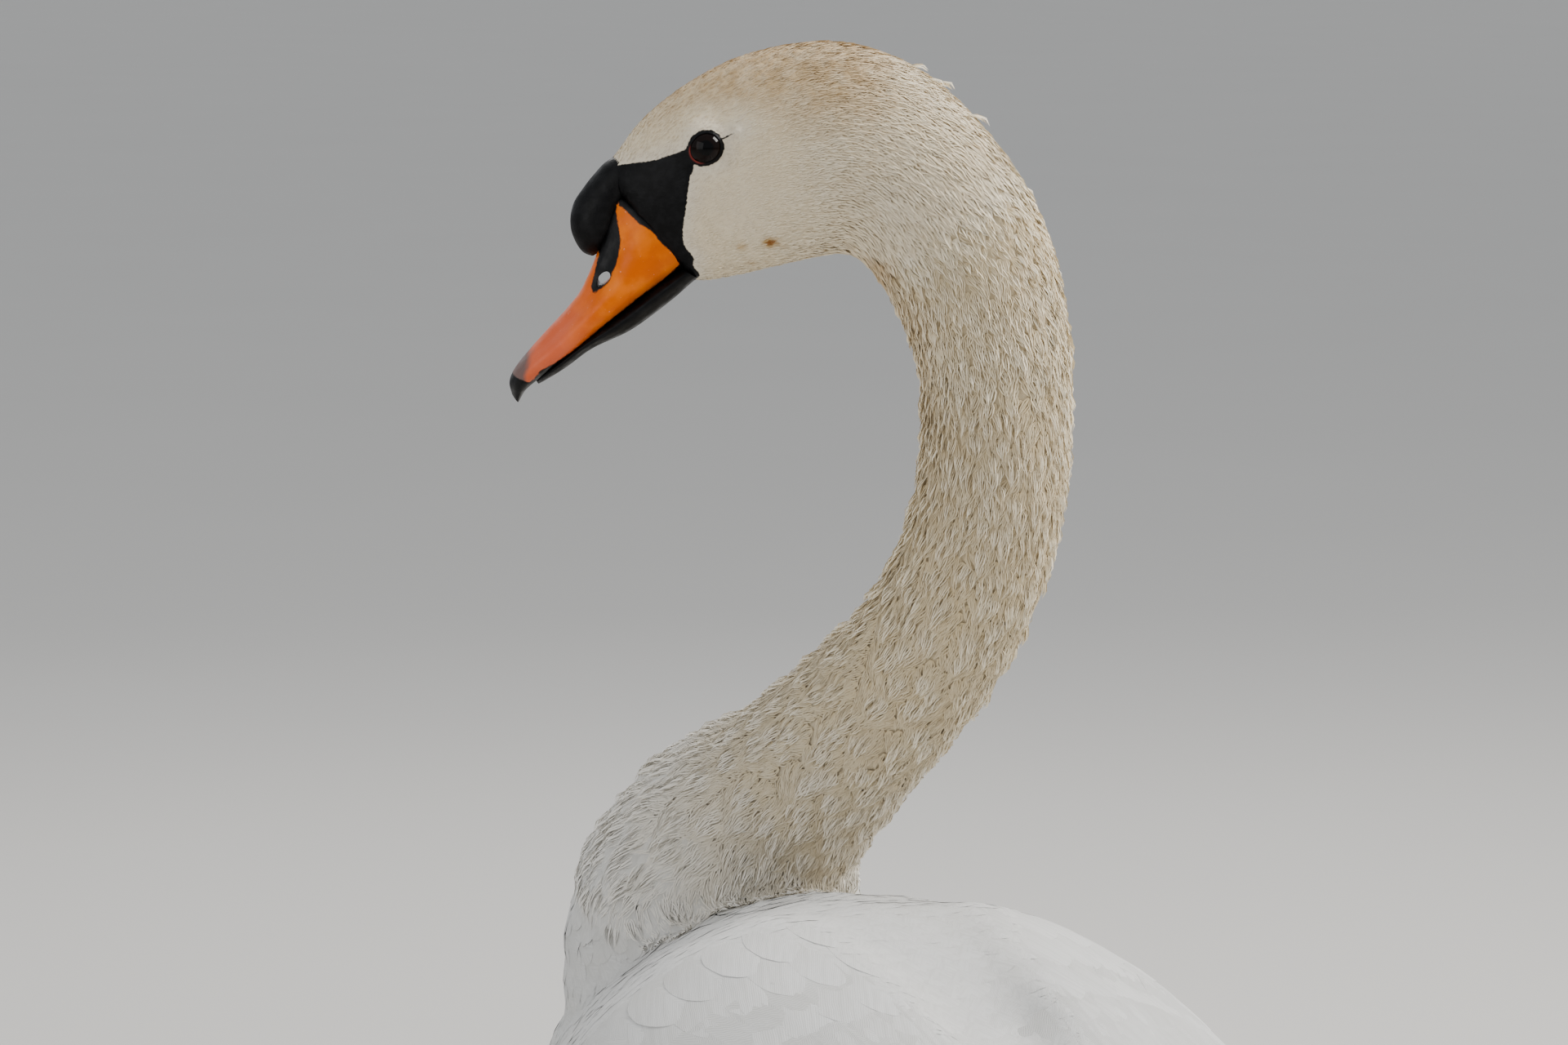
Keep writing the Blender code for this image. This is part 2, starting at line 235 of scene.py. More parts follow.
def node(tree, kind, values=None, **settings):
    made = tree.nodes.new(kind)
    for key, value in settings.items():
        setattr(made, key, value)
    for key, value in (values or {}).items():
        made.inputs[key].default_value = value
    return made


def feed(tree, socket, value):
    # a link from another node's socket, or a plain value
    if isinstance(value, bpy.types.NodeSocket):
        tree.links.new(value, socket)
    else:
        socket.default_value = value


def attributeNode(tree, name):
    return node(tree, "ShaderNodeAttribute", attribute_name=name)


def blendColour(tree, factor, first, second, mode="MIX"):
    made = node(tree, "ShaderNodeMix", data_type="RGBA", blend_type=mode)
    for socket, value in ((made.inputs[0], factor), (made.inputs[6], first), (made.inputs[7], second)):
        feed(tree, socket, (*value, 1) if isinstance(value, tuple) else value)
    return made.outputs[2]


def calculate(tree, operation, *values, clamp=False):
    made = node(tree, "ShaderNodeMath", operation=operation, use_clamp=clamp)
    for socket, value in zip(made.inputs, values):
        feed(tree, socket, value)
    return made.outputs[0]


def ramped(tree, value, low, high, outLow=0.0, outHigh=1.0):
    made = node(tree, "ShaderNodeMapRange", {"From Min": low, "From Max": high, "To Min": outLow, "To Max": outHigh},
                interpolation_type="SMOOTHSTEP")
    tree.links.new(value, made.inputs["Value"])
    return made.outputs["Result"]


def noise(tree, scale, detail=3.0, vector=None, stretch=None):
    made = node(tree, "ShaderNodeTexNoise", {"Scale": scale, "Detail": detail})
    place = vector or node(tree, "ShaderNodeTexCoord").outputs["Object"]
    if stretch:
        mapping = node(tree, "ShaderNodeMapping", {"Scale": stretch})
        tree.links.new(place, mapping.inputs["Vector"])
        place = mapping.outputs["Vector"]
    tree.links.new(place, made.inputs["Vector"])
    return made.outputs["Fac"]


def wavering(tree, reach, scale, detail=3.0):
    # noise that swings evenly to both sides of nothing
    return calculate(tree, "MULTIPLY", calculate(tree, "SUBTRACT", noise(tree, scale, detail), 0.5), reach)


def bump(tree, shader, height, distance, strength=1.0):
    made = node(tree, "ShaderNodeBump", {"Strength": strength, "Distance": distance})
    tree.links.new(height, made.inputs["Height"])
    tree.links.new(made.outputs["Normal"], shader.inputs["Normal"])


def newGroup(name, inputs, outputs):
    # a shader node group with its sockets
    group = bpy.data.node_groups.new(name, "ShaderNodeTree")
    for label, kind, value in inputs:
        socket = group.interface.new_socket(label, in_out="INPUT", socket_type=kind)
        socket.default_value = value
    for label, kind in outputs:
        group.interface.new_socket(label, in_out="OUTPUT", socket_type=kind)
    return group, group.nodes.new("NodeGroupInput"), group.nodes.new("NodeGroupOutput")


def plumageGroup():
    # colour of skin and feathers alike, from the markings carried by both
    tree, given, out = newGroup("plumageColour", [
        ("White", "NodeSocketColor", (0.87, 0.87, 0.855, 1)),
        ("Cream", "NodeSocketColor", (0.88, 0.805, 0.65, 1)),
        ("Ochre", "NodeSocketColor", (0.54, 0.37, 0.17, 1)),
        ("Rust", "NodeSocketColor", (0.26, 0.075, 0.012, 1)),
        ("Patchiness", "NodeSocketFloat", 0.25),
    ], [("Colour", "NodeSocketColor")])
    cream = attributeNode(tree, "cream").outputs["Fac"]
    patch = noise(tree, 38.0, 4.0)
    shift = calculate(tree, "MULTIPLY", calculate(tree, "SUBTRACT", patch, 0.5), given.outputs["Patchiness"])
    creamy = calculate(tree, "ADD", cream, shift, clamp=True)
    base = blendColour(tree, creamy, given.outputs["White"], given.outputs["Cream"])
    stain = attributeNode(tree, "stain").outputs["Fac"]
    spots = calculate(tree, "MULTIPLY", stain, ramped(tree, noise(tree, 160.0, 3.0), 0.30, 0.65, 0.62, 1.0),
                      clamp=True)
    rusty = calculate(tree, "SUBTRACT", stain, 1.0, clamp=True)
    tree.links.new(blendColour(tree, rusty, blendColour(tree, spots, base, given.outputs["Ochre"]),
                               given.outputs["Rust"]), out.inputs["Colour"])
    return tree


def barbGroup():
    # the fine barbs of a feather, slanting outwards from its shaft
    tree, given, out = newGroup("featherBarbs", [
        ("Vane", "NodeSocketVector", (0, 0, 0)),
        ("Barbs", "NodeSocketFloat", 60.0),
        ("Slant", "NodeSocketFloat", 1.2),
    ], [("Height", "NodeSocketFloat"), ("Shaft", "NodeSocketFloat"), ("Streak", "NodeSocketFloat")])
    split = tree.nodes.new("ShaderNodeSeparateXYZ")
    tree.links.new(given.outputs["Vane"], split.inputs[0])
    side = calculate(tree, "ABSOLUTE", calculate(tree, "SUBTRACT", split.outputs["X"], 0.5))
    wobble = calculate(tree, "MULTIPLY", noise(tree, 5.0, 2.0, given.outputs["Vane"]), 0.06)
    along = calculate(tree, "SUBTRACT", split.outputs["Y"], calculate(tree, "MULTIPLY", side, given.outputs["Slant"]))
    phase = calculate(tree, "MULTIPLY", calculate(tree, "ADD", along, wobble), given.outputs["Barbs"])
    wave = calculate(tree, "SINE", calculate(tree, "MULTIPLY", phase, 6.2832))
    tree.links.new(wave, out.inputs["Height"])
    shaft = ramped(tree, side, 0.0, 0.035, 1.0, 0.0)
    tree.links.new(shaft, out.inputs["Shaft"])
    # barbs cling together in streaks, different on each feather
    drawn = tree.nodes.new("ShaderNodeCombineXYZ")
    tree.links.new(calculate(tree, "MULTIPLY", along, 13.0), drawn.inputs[0])
    tree.links.new(calculate(tree, "MULTIPLY", split.outputs["X"], 3.0), drawn.inputs[1])
    tree.links.new(calculate(tree, "MULTIPLY", attributeNode(tree, "tone").outputs["Fac"], 50.0), drawn.inputs[2])
    tree.links.new(noise(tree, 1.0, 3.0, drawn.outputs[0]), out.inputs["Streak"])
    return tree


sharedColour, sharedBarbs = plumageGroup(), barbGroup()


def plumageMaterial(name, look):
    made, tree, shader = newMaterial(name, look["roughness"], Sheen_Weight=look["sheen"], Sheen_Roughness=0.5,
                                             Specular_IOR_Level=0.3)
    colour = tree.nodes.new("ShaderNodeGroup")
    colour.node_tree = sharedColour
    colour.inputs["Patchiness"].default_value = look["patchiness"]
    colour.inputs["White"].default_value = (*look["white"], 1)
    vane = node(tree, "ShaderNodeUVMap", uv_map="vane")
    barbs = tree.nodes.new("ShaderNodeGroup")
    barbs.node_tree = sharedBarbs
    barbs.inputs["Barbs"].default_value = look["barbs"]
    barbs.inputs["Slant"].default_value = look["slant"]
    tree.links.new(vane.outputs["UV"], barbs.inputs["Vane"])
    # random tone on each plume, with painted shade in the gaps between clumps and towards each plume's root
    tone = attributeNode(tree, "tone").outputs["Fac"]
    shade = ramped(tree, tone, 0.0, 1.0, 1.0 - look["toneAndShadeRange"], 1.0)
    split = tree.nodes.new("ShaderNodeSeparateXYZ")
    tree.links.new(vane.outputs["UV"], split.inputs[0])
    rootShade = ramped(tree, split.outputs["Y"], 0.0, look["rootReach"], look["rootShade"], 1.0)
    shade = calculate(tree, "MULTIPLY", shade, rootShade)
    shade = calculate(tree, "MULTIPLY", shade,
                      ramped(tree, barbs.outputs["Streak"], 0.34, 0.62, 1.0 - look["streak"], 1.0))
    warm = ramped(tree, attributeNode(tree, "cream").outputs["Fac"], 0.06, 0.50)
    depth = calculate(tree, "ADD", look["whiteDepth"], calculate(tree, "MULTIPLY", warm, 1.0 - look["whiteDepth"]))
    shade = calculate(tree, "SUBTRACT", 1.0,
                      calculate(tree, "MULTIPLY", calculate(tree, "SUBTRACT", 1.0, shade), depth))
    # the painted shade takes a grey tint on white plumage and a warm one on cream
    toneAndShadeTint = blendColour(tree, shade, blendColour(tree, warm, (0.60, 0.59, 0.56), look["toneAndShadeTint"]), (1.0, 1.0, 1.0))
    tinted = blendColour(tree, 1.0, colour.outputs["Colour"], toneAndShadeTint, "MULTIPLY")
    tree.links.new(tinted, shader.inputs["Base Color"])
    height = calculate(tree, "ADD", barbs.outputs["Height"],
                       calculate(tree, "MULTIPLY", barbs.outputs["Shaft"], look["shaft"]))
    bump(tree, shader, height, look["bump"])
    return made


def skinMaterial():
    made, tree, shader = newMaterial("faceAndSkin", 0.6, Specular_IOR_Level=0.22)
    colour = tree.nodes.new("ShaderNodeGroup")
    colour.node_tree = sharedColour
    ink = attributeNode(tree, "ink").outputs["Fac"]
    ragged = calculate(tree, "ADD", ink, wavering(tree, 0.0012, 900.0, 2.0))
    black = ramped(tree, ragged, -0.00025, 0.00025)
    plain = (1.0, 1.0, 1.0)
    # painted shade on the skin where it shows between the plumes: warm and darker under the cream coat, grey under
    # the white body coat
    undersideAndShade = blendColour(tree, attributeNode(tree, "undersideAndShade").outputs["Fac"], plain, (0.70, 0.65, 0.56))
    creamy = ramped(tree, attributeNode(tree, "cream").outputs["Fac"], 0.05, 0.25)
    shadeUnderWhiteCoat = blendColour(tree, creamy, (0.82, 0.82, 0.82), plain)
    covered = blendColour(tree, 1.0, colour.outputs["Colour"], undersideAndShade, "MULTIPLY")
    covered = blendColour(tree, 1.0, covered, shadeUnderWhiteCoat, "MULTIPLY")
    darkSkin = blendColour(tree, ramped(tree, noise(tree, 300.0, 4.0), 0.35, 0.7), (0.003, 0.003, 0.0035),
                           (0.009, 0.009, 0.010))
    base = blendColour(tree, black, covered, darkSkin)
    lid = attributeNode(tree, "lid").outputs["Fac"]
    base = blendColour(tree, calculate(tree, "MULTIPLY", lid, 0.85), base, (0.30, 0.055, 0.045))
    tree.links.new(base, shader.inputs["Base Color"])
    tree.links.new(ramped(tree, ragged, -0.0003, 0.0003, 0.75, 0.42), shader.inputs["Roughness"])
    velvet = noise(tree, 1400.0, 3.0)
    wrinkle = noise(tree, 420.0, 4.0, stretch=(1.0, 1.0, 2.2))
    height = calculate(tree, "ADD", calculate(tree, "MULTIPLY", velvet, 0.5), wrinkle)
    bump(tree, shader, height, 0.0003, 0.6)
    return made


skinSizes = {
    "voxel": 0.0030,
    "smoothing": 7,
    "backEasing": 40,
    "finerHead": (0.035, 0.67),  # forward of the first and above the second
    "finerEyes": (0.017, 0.0125),  # radii round each eye, one after the other
    "underCoat": 0.0009,  # the finished skin lies this much deeper than the coats' roots
    "closing": 0.00035,  # grows each CAD piece so that the thin gaps between them close
    "headCoat": 0.0006,
    "neckCoat": 0.0022,
    "bodyCoat": 0.0030,
    "thinCoat": 0.0009,  # on the tail and the wing tips
}

# black of the face, seen from the side as distance forward and height
faceMask = rounded([
    (0.1560, 0.7305), (0.1506, 0.7331), (0.1442, 0.7344), (0.1362, 0.7356), (0.1291, 0.7379), (0.1239, 0.7398),
    (0.1206, 0.7420), (0.1185, 0.7400), (0.1197, 0.7350), (0.1201, 0.7330), (0.1217, 0.7278), (0.1226, 0.7197),
    (0.1242, 0.7093), (0.1236, 0.7020), (0.1202, 0.6975), (0.1203, 0.6935), (0.1180, 0.6903), (0.1200, 0.6880),
    (0.1330, 0.6840), (0.1700, 0.6900),
])

# down that fills the groove between the folded wings: x, top and half breadth
grooveFill = [(-0.10, 0.428, 0.028), (-0.04, 0.431, 0.030), (0.04, 0.422, 0.030), (0.10, 0.405, 0.028),
              (0.16, 0.388, 0.024), (0.20, 0.375, 0.017), (0.243, 0.359, 0.013), (0.275, 0.341, 0.013),
              (0.305, 0.3225, 0.008)]


def fillGroove(built):
    rings = []
    for x, top, wide in grooveFill:
        floor = min(0.32, top - 0.012)
        middle, tall = (top + floor) / 2, (top - floor) / 2
        around = [2 * math.pi * j / 16 for j in range(16)]
        rings.append([built.verts.new((x, wide * math.cos(a), middle + tall * math.sin(a))) for a in around])
    capped(built, rings)
    added = set(v for ring in rings for v in ring)
    bmesh.ops.recalc_face_normals(built, faces=[f for f in built.faces if f.verts[0] in added])


def gathered(names, adjust=None):
    # the CAD pieces together, each grown a little so that the thin gaps between them close
    joined = bmesh.new()
    for name in names:
        one = bmesh.new()
        one.from_mesh(frame["nodes"][name].data)
        bmesh.ops.remove_doubles(one, verts=one.verts, dist=0.00002)
        one.normal_update()
        for v in one.verts:
            v.co += v.normal * skinSizes["closing"]
            if adjust:
                adjust(name, v)
        copy = meshOf(one, name)
        joined.from_mesh(copy)
        bpy.data.meshes.remove(copy)
    return joined


def remeshed(joined, name, sizes):
    # one closed and smoothed surface round them all
    obj = newObject(name + "Rough", meshOf(joined, name + "Rough"))
    remesh = obj.modifiers.new("remesh", "REMESH")
    remesh.mode = "VOXEL"
    remesh.voxel_size = sizes["voxel"]
    smooth = obj.modifiers.new("smooth", "SMOOTH")
    smooth.factor, smooth.iterations = 0.5, sizes["smoothing"]
    mesh = evaluated(obj, name)
    bpy.data.objects.remove(obj)
    return mesh


def buildSkin():
    flesh = ["head", "neck_upper", "neck_middle", "neck_lower", "trunk", "tail", "wing_left", "wing_right",
             "thigh_left", "thigh_right", "eye_left", "eye_right"]
    joined = gathered(flesh)
    fillGroove(joined)
    mesh = remeshed(joined, "skin", skinSizes)
    built = bmesh.new()
    built.from_mesh(mesh)
    # finer over the head, and finer again round the eyes
    places = inHead(np.array([v.co for v in built.verts]))
    forward, height = skinSizes["finerHead"]
    region = (places[:, 0] > forward) & (places[:, 2] > height)
    edges = [e for e in built.edges if all(region[v.index] for v in e.verts)]
    bmesh.ops.subdivide_edges(built, edges=edges, cuts=1, use_grid_fill=True, smooth=0.6)
    for radius in skinSizes["finerEyes"]:
        near = {v for v in built.verts for eye in (eyeLeft, eyeRight) if (v.co - Vector(eye)).length < radius}
        edges = [e for e in built.edges if e.verts[0] in near and e.verts[1] in near]
        bmesh.ops.subdivide_edges(built, edges=edges, cuts=1, use_grid_fill=True, smooth=0.4)
    bmesh.ops.triangulate(built, faces=[f for f in built.faces if len(f.verts) > 4])
    built.to_mesh(mesh)
    built.free()
    return mesh


eyelids = {
    # radius of the opening, breadth of the rim, where the cheek takes over
    "opening": 0.0055, "rim": 0.0008, "reach": 0.0090,
    "longer": 1.16, "flatter": 0.96, "turn": -38,  # the opening is a little longer towards the bill, low down
    "behind": 0.0016, "thick": 0.00045, "held": 0.0012, "fall": 0.30,
    "crease": 0.00008, "creaseAt": 0.0012, "creaseWide": 0.0007,
    "brow": 0.0004, "browAt": 0.0030, "browWide": 0.0022,
    # dark lids, with a fine line back from the rear corner
    "dark": 0.0071, "lineEnd": (-0.0126, 0.0066), "lineWide": 0.0005,
}


def sculptFace(mesh):
    co = coordinates(mesh)
    place = inHead(co)
    lid, rimInk = np.zeros(len(co)), np.full(len(co), -0.05)
    opening, rim, reach = eyelids["opening"], eyelids["rim"], eyelids["reach"]
    for eye, side in ((eyeLeft, 1.0), (eyeRight, -1.0)):
        eyePlace = inHead(eye[None])[0]
        ahead, above = place[:, 0] - eyePlace[0], place[:, 2] - eyePlace[2]
        out = side * (place[:, 1] - eyePlace[1])
        turn = math.radians(eyelids["turn"])
        long = ahead * math.cos(turn) + above * math.sin(turn)
        tall = -ahead * math.sin(turn) + above * math.cos(turn)
        away = np.sqrt((long / np.where(long > 0, eyelids["longer"], 1.0)) ** 2 + (tall / eyelids["flatter"]) ** 2)
        flat = np.sqrt(ahead ** 2 + above ** 2)
        near = (out > -0.004) & (away < opening + reach) & (np.abs(out) < 0.02)
        # round over the eye as far as the lids' rim, then straight on down to the cheek
        held = opening + eyelids["held"]
        ball = np.sqrt(np.maximum(eyeRadius ** 2 - np.minimum(flat, held) ** 2, 1e-8))
        ball = ball - eyelids["fall"] * np.maximum(flat - held, 0)
        hidden, lidTop = ball - eyelids["behind"], ball + eyelids["thick"]
        inward = smoothStep(opening - 0.0006, opening + 0.0004, away)
        target = hidden * (1 - inward) + lidTop * inward
        blend = smoothStep(opening + rim, opening + reach, away)
        pastRim = away - opening - rim
        crease = eyelids["crease"] * np.exp(-((pastRim - eyelids["creaseAt"]) / eyelids["creaseWide"]) ** 2)
        brow = eyelids["brow"] * np.exp(-((away - opening - eyelids["browAt"]) / eyelids["browWide"]) ** 2)
        brow = brow * smoothStep(-0.2, 0.8, above / (flat + 1e-6))
        wanted = target * (1 - blend) + out * blend - crease + brow
        place[:, 1] = np.where(near, eyePlace[1] + side * wanted, place[:, 1])
        lineAhead, lineAbove = eyelids["lineEnd"]
        along = np.clip((ahead * lineAhead + above * lineAbove) / (lineAhead ** 2 + lineAbove ** 2), 0, 1)
        toLine = np.hypot(ahead - along * lineAhead, above - along * lineAbove)
        dark = np.maximum(eyelids["dark"] - away, eyelids["lineWide"] * (1 - along) + 0.0001 - toLine)
        rimInk = np.where(out > -0.006, np.maximum(rimInk, dark), rimInk)
        corner = (long > 0) & near
        edge = smoothStep(opening - 0.0010, opening - 0.0002, away)
        edge = edge * (1 - smoothStep(opening + 0.0003, opening + 0.0010, away))
        lid = np.maximum(lid, edge * corner * smoothStep(0.62, 0.95, long / (flat + 1e-6)))
    return fromHead(place[:, 0], place[:, 1], place[:, 2]), place, lid, rimInk


easing = {
    # each begins at the first number, is full from the second to the fourth, and has ended at the third
    "backHeights": (0.33, 0.37, 0.58, 0.52), "backLength": (-0.24, -0.20, 0.24, 0.18), "back": 0.9,
    "creaseHeights": (0.235, 0.255, 0.315, 0.295), "creaseLength": (0.0, 0.04, 0.27, 0.23), "crease": 0.9,
    "sideTop": 0.40, "sideLow": (0.14, 0.18), "sides": 0.25,
    "neckClear": 0.072, "neckBlend": 0.03,
}


def plateau(value, ends, share=1.0):
    return share * smoothStep(ends[0], ends[1], value) * smoothStep(ends[2], ends[3], value)


def easeBack(mesh):
    # softens the steps where the wings lie against the back, and the crease under their lower edges
    co = coordinates(mesh).astype(float)
    edges = np.empty(len(mesh.edges) * 2, int)
    mesh.edges.foreach_get("vertices", edges)
    a, b = edges.reshape(-1, 2).T
    count = np.bincount(a, minlength=len(co)) + np.bincount(b, minlength=len(co))
    share = plateau(co[:, 0], easing["backLength"], plateau(co[:, 2], easing["backHeights"]))
    sides = easing["sides"] * (co[:, 2] < easing["sideTop"]) * smoothStep(*easing["sideLow"], co[:, 2])
    share = np.maximum(share * easing["back"], sides)
    creased = plateau(co[:, 0], easing["creaseLength"], plateau(co[:, 2], easing["creaseHeights"]))
    share = np.maximum(share, easing["crease"] * creased * (np.abs(co[:, 1]) > 0.02))
    offLine = np.linalg.norm(co - line[alongNeck(co)], axis=1)
    share *= smoothStep(0.0, easing["neckBlend"], offLine - easing["neckClear"])
    for _ in range(skinSizes["backEasing"]):
        total = np.zeros_like(co)
        for axis in range(3):
            total[:, axis] = np.bincount(a, co[b, axis], len(co)) + np.bincount(b, co[a, axis], len(co))
        co += (total / count[:, None] - co) * share[:, None]
    moveTo(mesh, co)


markings = {
    # neckEnd, creamFade, besideFrom, behindFrom, girthAt and rippleFrom count samples of the middle line
    "neckEnd": 160, "creamFade": [108, 170], "besideFrom": 95, "behindFrom": 115,
    "girthAt": [0, 100, 130, 150, 180], "girths": (0.030, 0.031, 0.036, 0.047, 0.070), "beside": (1.60, 1.25),
    "behindReach": (0.020, 0.038), "behindHeight": (0.458, 0.444),
    "cream": 0.92, "least": 0.04, "creamByMask": 0.62,
    "crownHeights": (0.738, 0.768), "crownForward": (0.035, 0.06), "crownClear": (-0.004, -0.016),
    "throat": (0.052, 0.690), "throatReach": 0.014, "throatForward": (0.020, 0.031), "throatHeights": (0.60, 0.66),
    "crownStain": 0.54, "throatStain": 0.75, "neckStain": 0.35, "faceStain": 0.13,
    # small rust spots on the left cheek: forward, height, size, depth
    "spots": ((0.0903, 0.7031, 0.0019, 1.9), (0.1015, 0.7012, 0.0016, 0.9), (0.0850, 0.7010, 0.0014, 0.5),
              (0.0975, 0.6945, 0.0012, 0.6)),
    "rippleFrom": (118, 150), "rippleBody": (-0.20, -0.06), "rippleDepth": 0.0026,
}


def dressSkin(mesh):
    co, place, lid, rimInk = sculptFace(mesh)
    moveTo(mesh, co)
    normals = normalsOf(mesh)
    nearest = alongNeck(co)
    run = lineRun[nearest]
    neckEnd = lineRun[markings["neckEnd"]]
    offLine = np.linalg.norm(co - line[nearest], axis=1)
    onNeck = 1 - smoothStep(neckEnd, neckEnd + 0.05, run + np.maximum(offLine - 0.062, 0) * 6)
    ink = shapeDistance(faceMask, place[:, [0, 2]])
    ink = np.maximum(np.where((place[:, 0] > 0.10) & (co[:, 2] > 0.66), ink, -0.05), rimInk)
    # lie of the feathers: back over the head, down the neck and back along the body
    neckLie = lineWay[nearest]
    bodyLie = np.broadcast_to(np.array([1.0, 0.0, -0.40]), co.shape).copy()
    thigh = smoothStep(0.19, 0.15, co[:, 2])[:, None]
    bodyLie = bodyLie * (1 - thigh) + np.array([0.25, 0.0, -1.0]) * thigh
    # on the back just behind the neck they already run back
    behind = smoothStep(*markings["behindReach"], co[:, 0] - line[nearest][:, 0])
    behind = behind * smoothStep(*markings["behindHeight"], co[:, 2]) * (run > lineRun[markings["behindFrom"]])
    neckShare = (onNeck * (1 - behind))[:, None]
    lie = neckLie * neckShare + bodyLie * (1 - neckShare)
    lie -= (lie * normals).sum(1)[:, None] * normals
    lie /= np.maximum(np.linalg.norm(lie, axis=1), 1e-6)[:, None]
    spread = offLine / np.interp(run, lineRun[markings["girthAt"]], markings["girths"])
    beside = smoothStep(*markings["beside"], spread)  # 0 on the shoulders beside the neck's foot
    cream = (1 - smoothStep(*lineRun[markings["creamFade"]], run)) * onNeck
    cream = cream * np.where(run > lineRun[markings["besideFrom"]], beside, 1.0)
    cream = cream * markings["cream"] + markings["least"]
    crown = smoothStep(*markings["crownHeights"], co[:, 2]) * smoothStep(*markings["crownForward"], place[:, 0])
    crown = crown * smoothStep(*markings["crownClear"], ink)
    byMask = markings["creamByMask"]
    cream *= byMask + (1 - byMask) * np.maximum(smoothStep(-0.0005, -0.0075, ink), run > lineRun[40])
    g, h = markings["throat"]
    fromThroat = np.linalg.norm(np.stack([place[:, 0] - g, co[:, 2] - h], 1), axis=1)
    throat = 1 - smoothStep(0.0, markings["throatReach"], fromThroat)
    # the front of the neck, ahead of its middle line, for the stain down the throat
    undersideAndShade = onNeck * smoothStep(*markings["throatForward"], (place[:, 0] - inHead(line[nearest])[:, 0]))
    throat = np.maximum(throat, undersideAndShade * smoothStep(*markings["throatHeights"], co[:, 2]) * markings["neckStain"])
    spots = np.zeros(len(co))
    for g, h, size, depth in markings["spots"]:
        offSpot = ((place[:, 0] - g) / (size * 1.4)) ** 2 + ((co[:, 2] - h) / size) ** 2
        spots = np.maximum(spots, depth * np.exp(-offSpot) * (place[:, 1] > 0))
    stain = markings["crownStain"] * crown + markings["throatStain"] * throat
    stain = stain + markings["faceStain"] * (run < lineRun[60])
    stain = np.maximum(np.clip(stain, 0, 1), spots)
    depth = np.full(len(co), skinSizes["bodyCoat"])
    onHead = [skinSizes["headCoat"], skinSizes["headCoat"], skinSizes["neckCoat"]]
    depth = depth * (1 - onNeck) + onNeck * np.interp(run, [0, lineRun[40], lineRun[85]], onHead)
    thin = smoothStep(0.10, 0.17, co[:, 0])
    depth = depth * (1 - thin) + skinSizes["thinCoat"] * thin
    depth = np.where(ink > -0.001, 0.0003, depth)
    depth *= smoothStep(0.009, 0.018, np.minimum(*[np.linalg.norm(co - eye, axis=1) for eye in (eyeLeft, eyeRight)]))
    start, full = markings["rippleFrom"]
    ripple = smoothStep(lineRun[start], lineRun[full], run)
    ripple = ripple * (1 - smoothStep(*markings["rippleBody"], co[:, 0] - 0.10 * onNeck))
    waves = np.array([mathNoise.noise(Vector((p[0] * 46 + p[2] * 18, p[1] * 46, p[2] * 60 - p[0] * 20))) for p in co])
    moveTo(mesh, co - normals * (depth - ripple * markings["rippleDepth"] * waves)[:, None])
    # painted shade for the skin under the coat of the head and neck, where it shows between the plumes
    undersideAndShade = smoothStep(lineRun[30], lineRun[70], run) * onNeck * smoothStep(0.05, 0.45, cream)
    undersideAndShade = np.maximum(undersideAndShade, 0.5 * (run < lineRun[60]))
    marks = {"lie": lie, "stand": normals, "ink": ink, "cream": cream, "stain": stain, "lid": lid,
             "onNeck": onNeck, "run": run, "beside": beside, "undersideAndShade": undersideAndShade}
    for name, values in marks.items():
        writeAttribute(mesh, name, values)
    mesh.shade_smooth()


print("skin: joining and remeshing the flesh")
skinMesh = buildSkin()
easeBack(skinMesh)
dressSkin(skinMesh)
skin = newObject("skin", skinMesh)
skinMesh.materials.append(skinMaterial())
print("skin:", len(skinMesh.polygons), "faces")
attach(skin, "root")
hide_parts("head", "neck_upper", "neck_middle", "neck_lower", "trunk", "tail", "wing_left", "wing_right",
            "thigh_left", "thigh_right")


plumeSizes = {
    "down": {"blades": 3, "length": 0.0040, "spread": 0.0007, "wide": 0.00048, "rise": 0.00055, "segments": 2},
    "nape": {"blades": 4, "length": 0.0068, "spread": 0.0012, "wide": 0.00052, "rise": 0.0010, "segments": 3},
    "neck": {"blades": 6, "length": 0.0104, "spread": 0.0020, "wide": 0.00050, "rise": 0.0016, "segments": 3},
}
featherSizes = {
    "soft": {"length": 0.021, "wide": 0.0140, "lift": 0.0014, "cup": 0.0005, "rows": 6, "columns": 4, "tip": 0.55},
    "contour": {"length": 0.028, "wide": 0.0200, "lift": 0.0009, "cup": 0.0005, "rows": 7, "columns": 4, "tip": 0.52},
}


def storePlume(name, verts, faces, uvs, rises):
    mesh = bpy.data.meshes.new(name)
    mesh.from_pydata(verts, [], faces)
    layer = mesh.uv_layers.new(name="vane")
    layer.data.foreach_set("uv", np.array(uvs, np.float32)[cornerVertices(mesh)].ravel())
    writeAttribute(mesh, "rise", np.array(rises))
    mesh.shade_smooth()
    return bpy.data.objects.new(name, mesh)


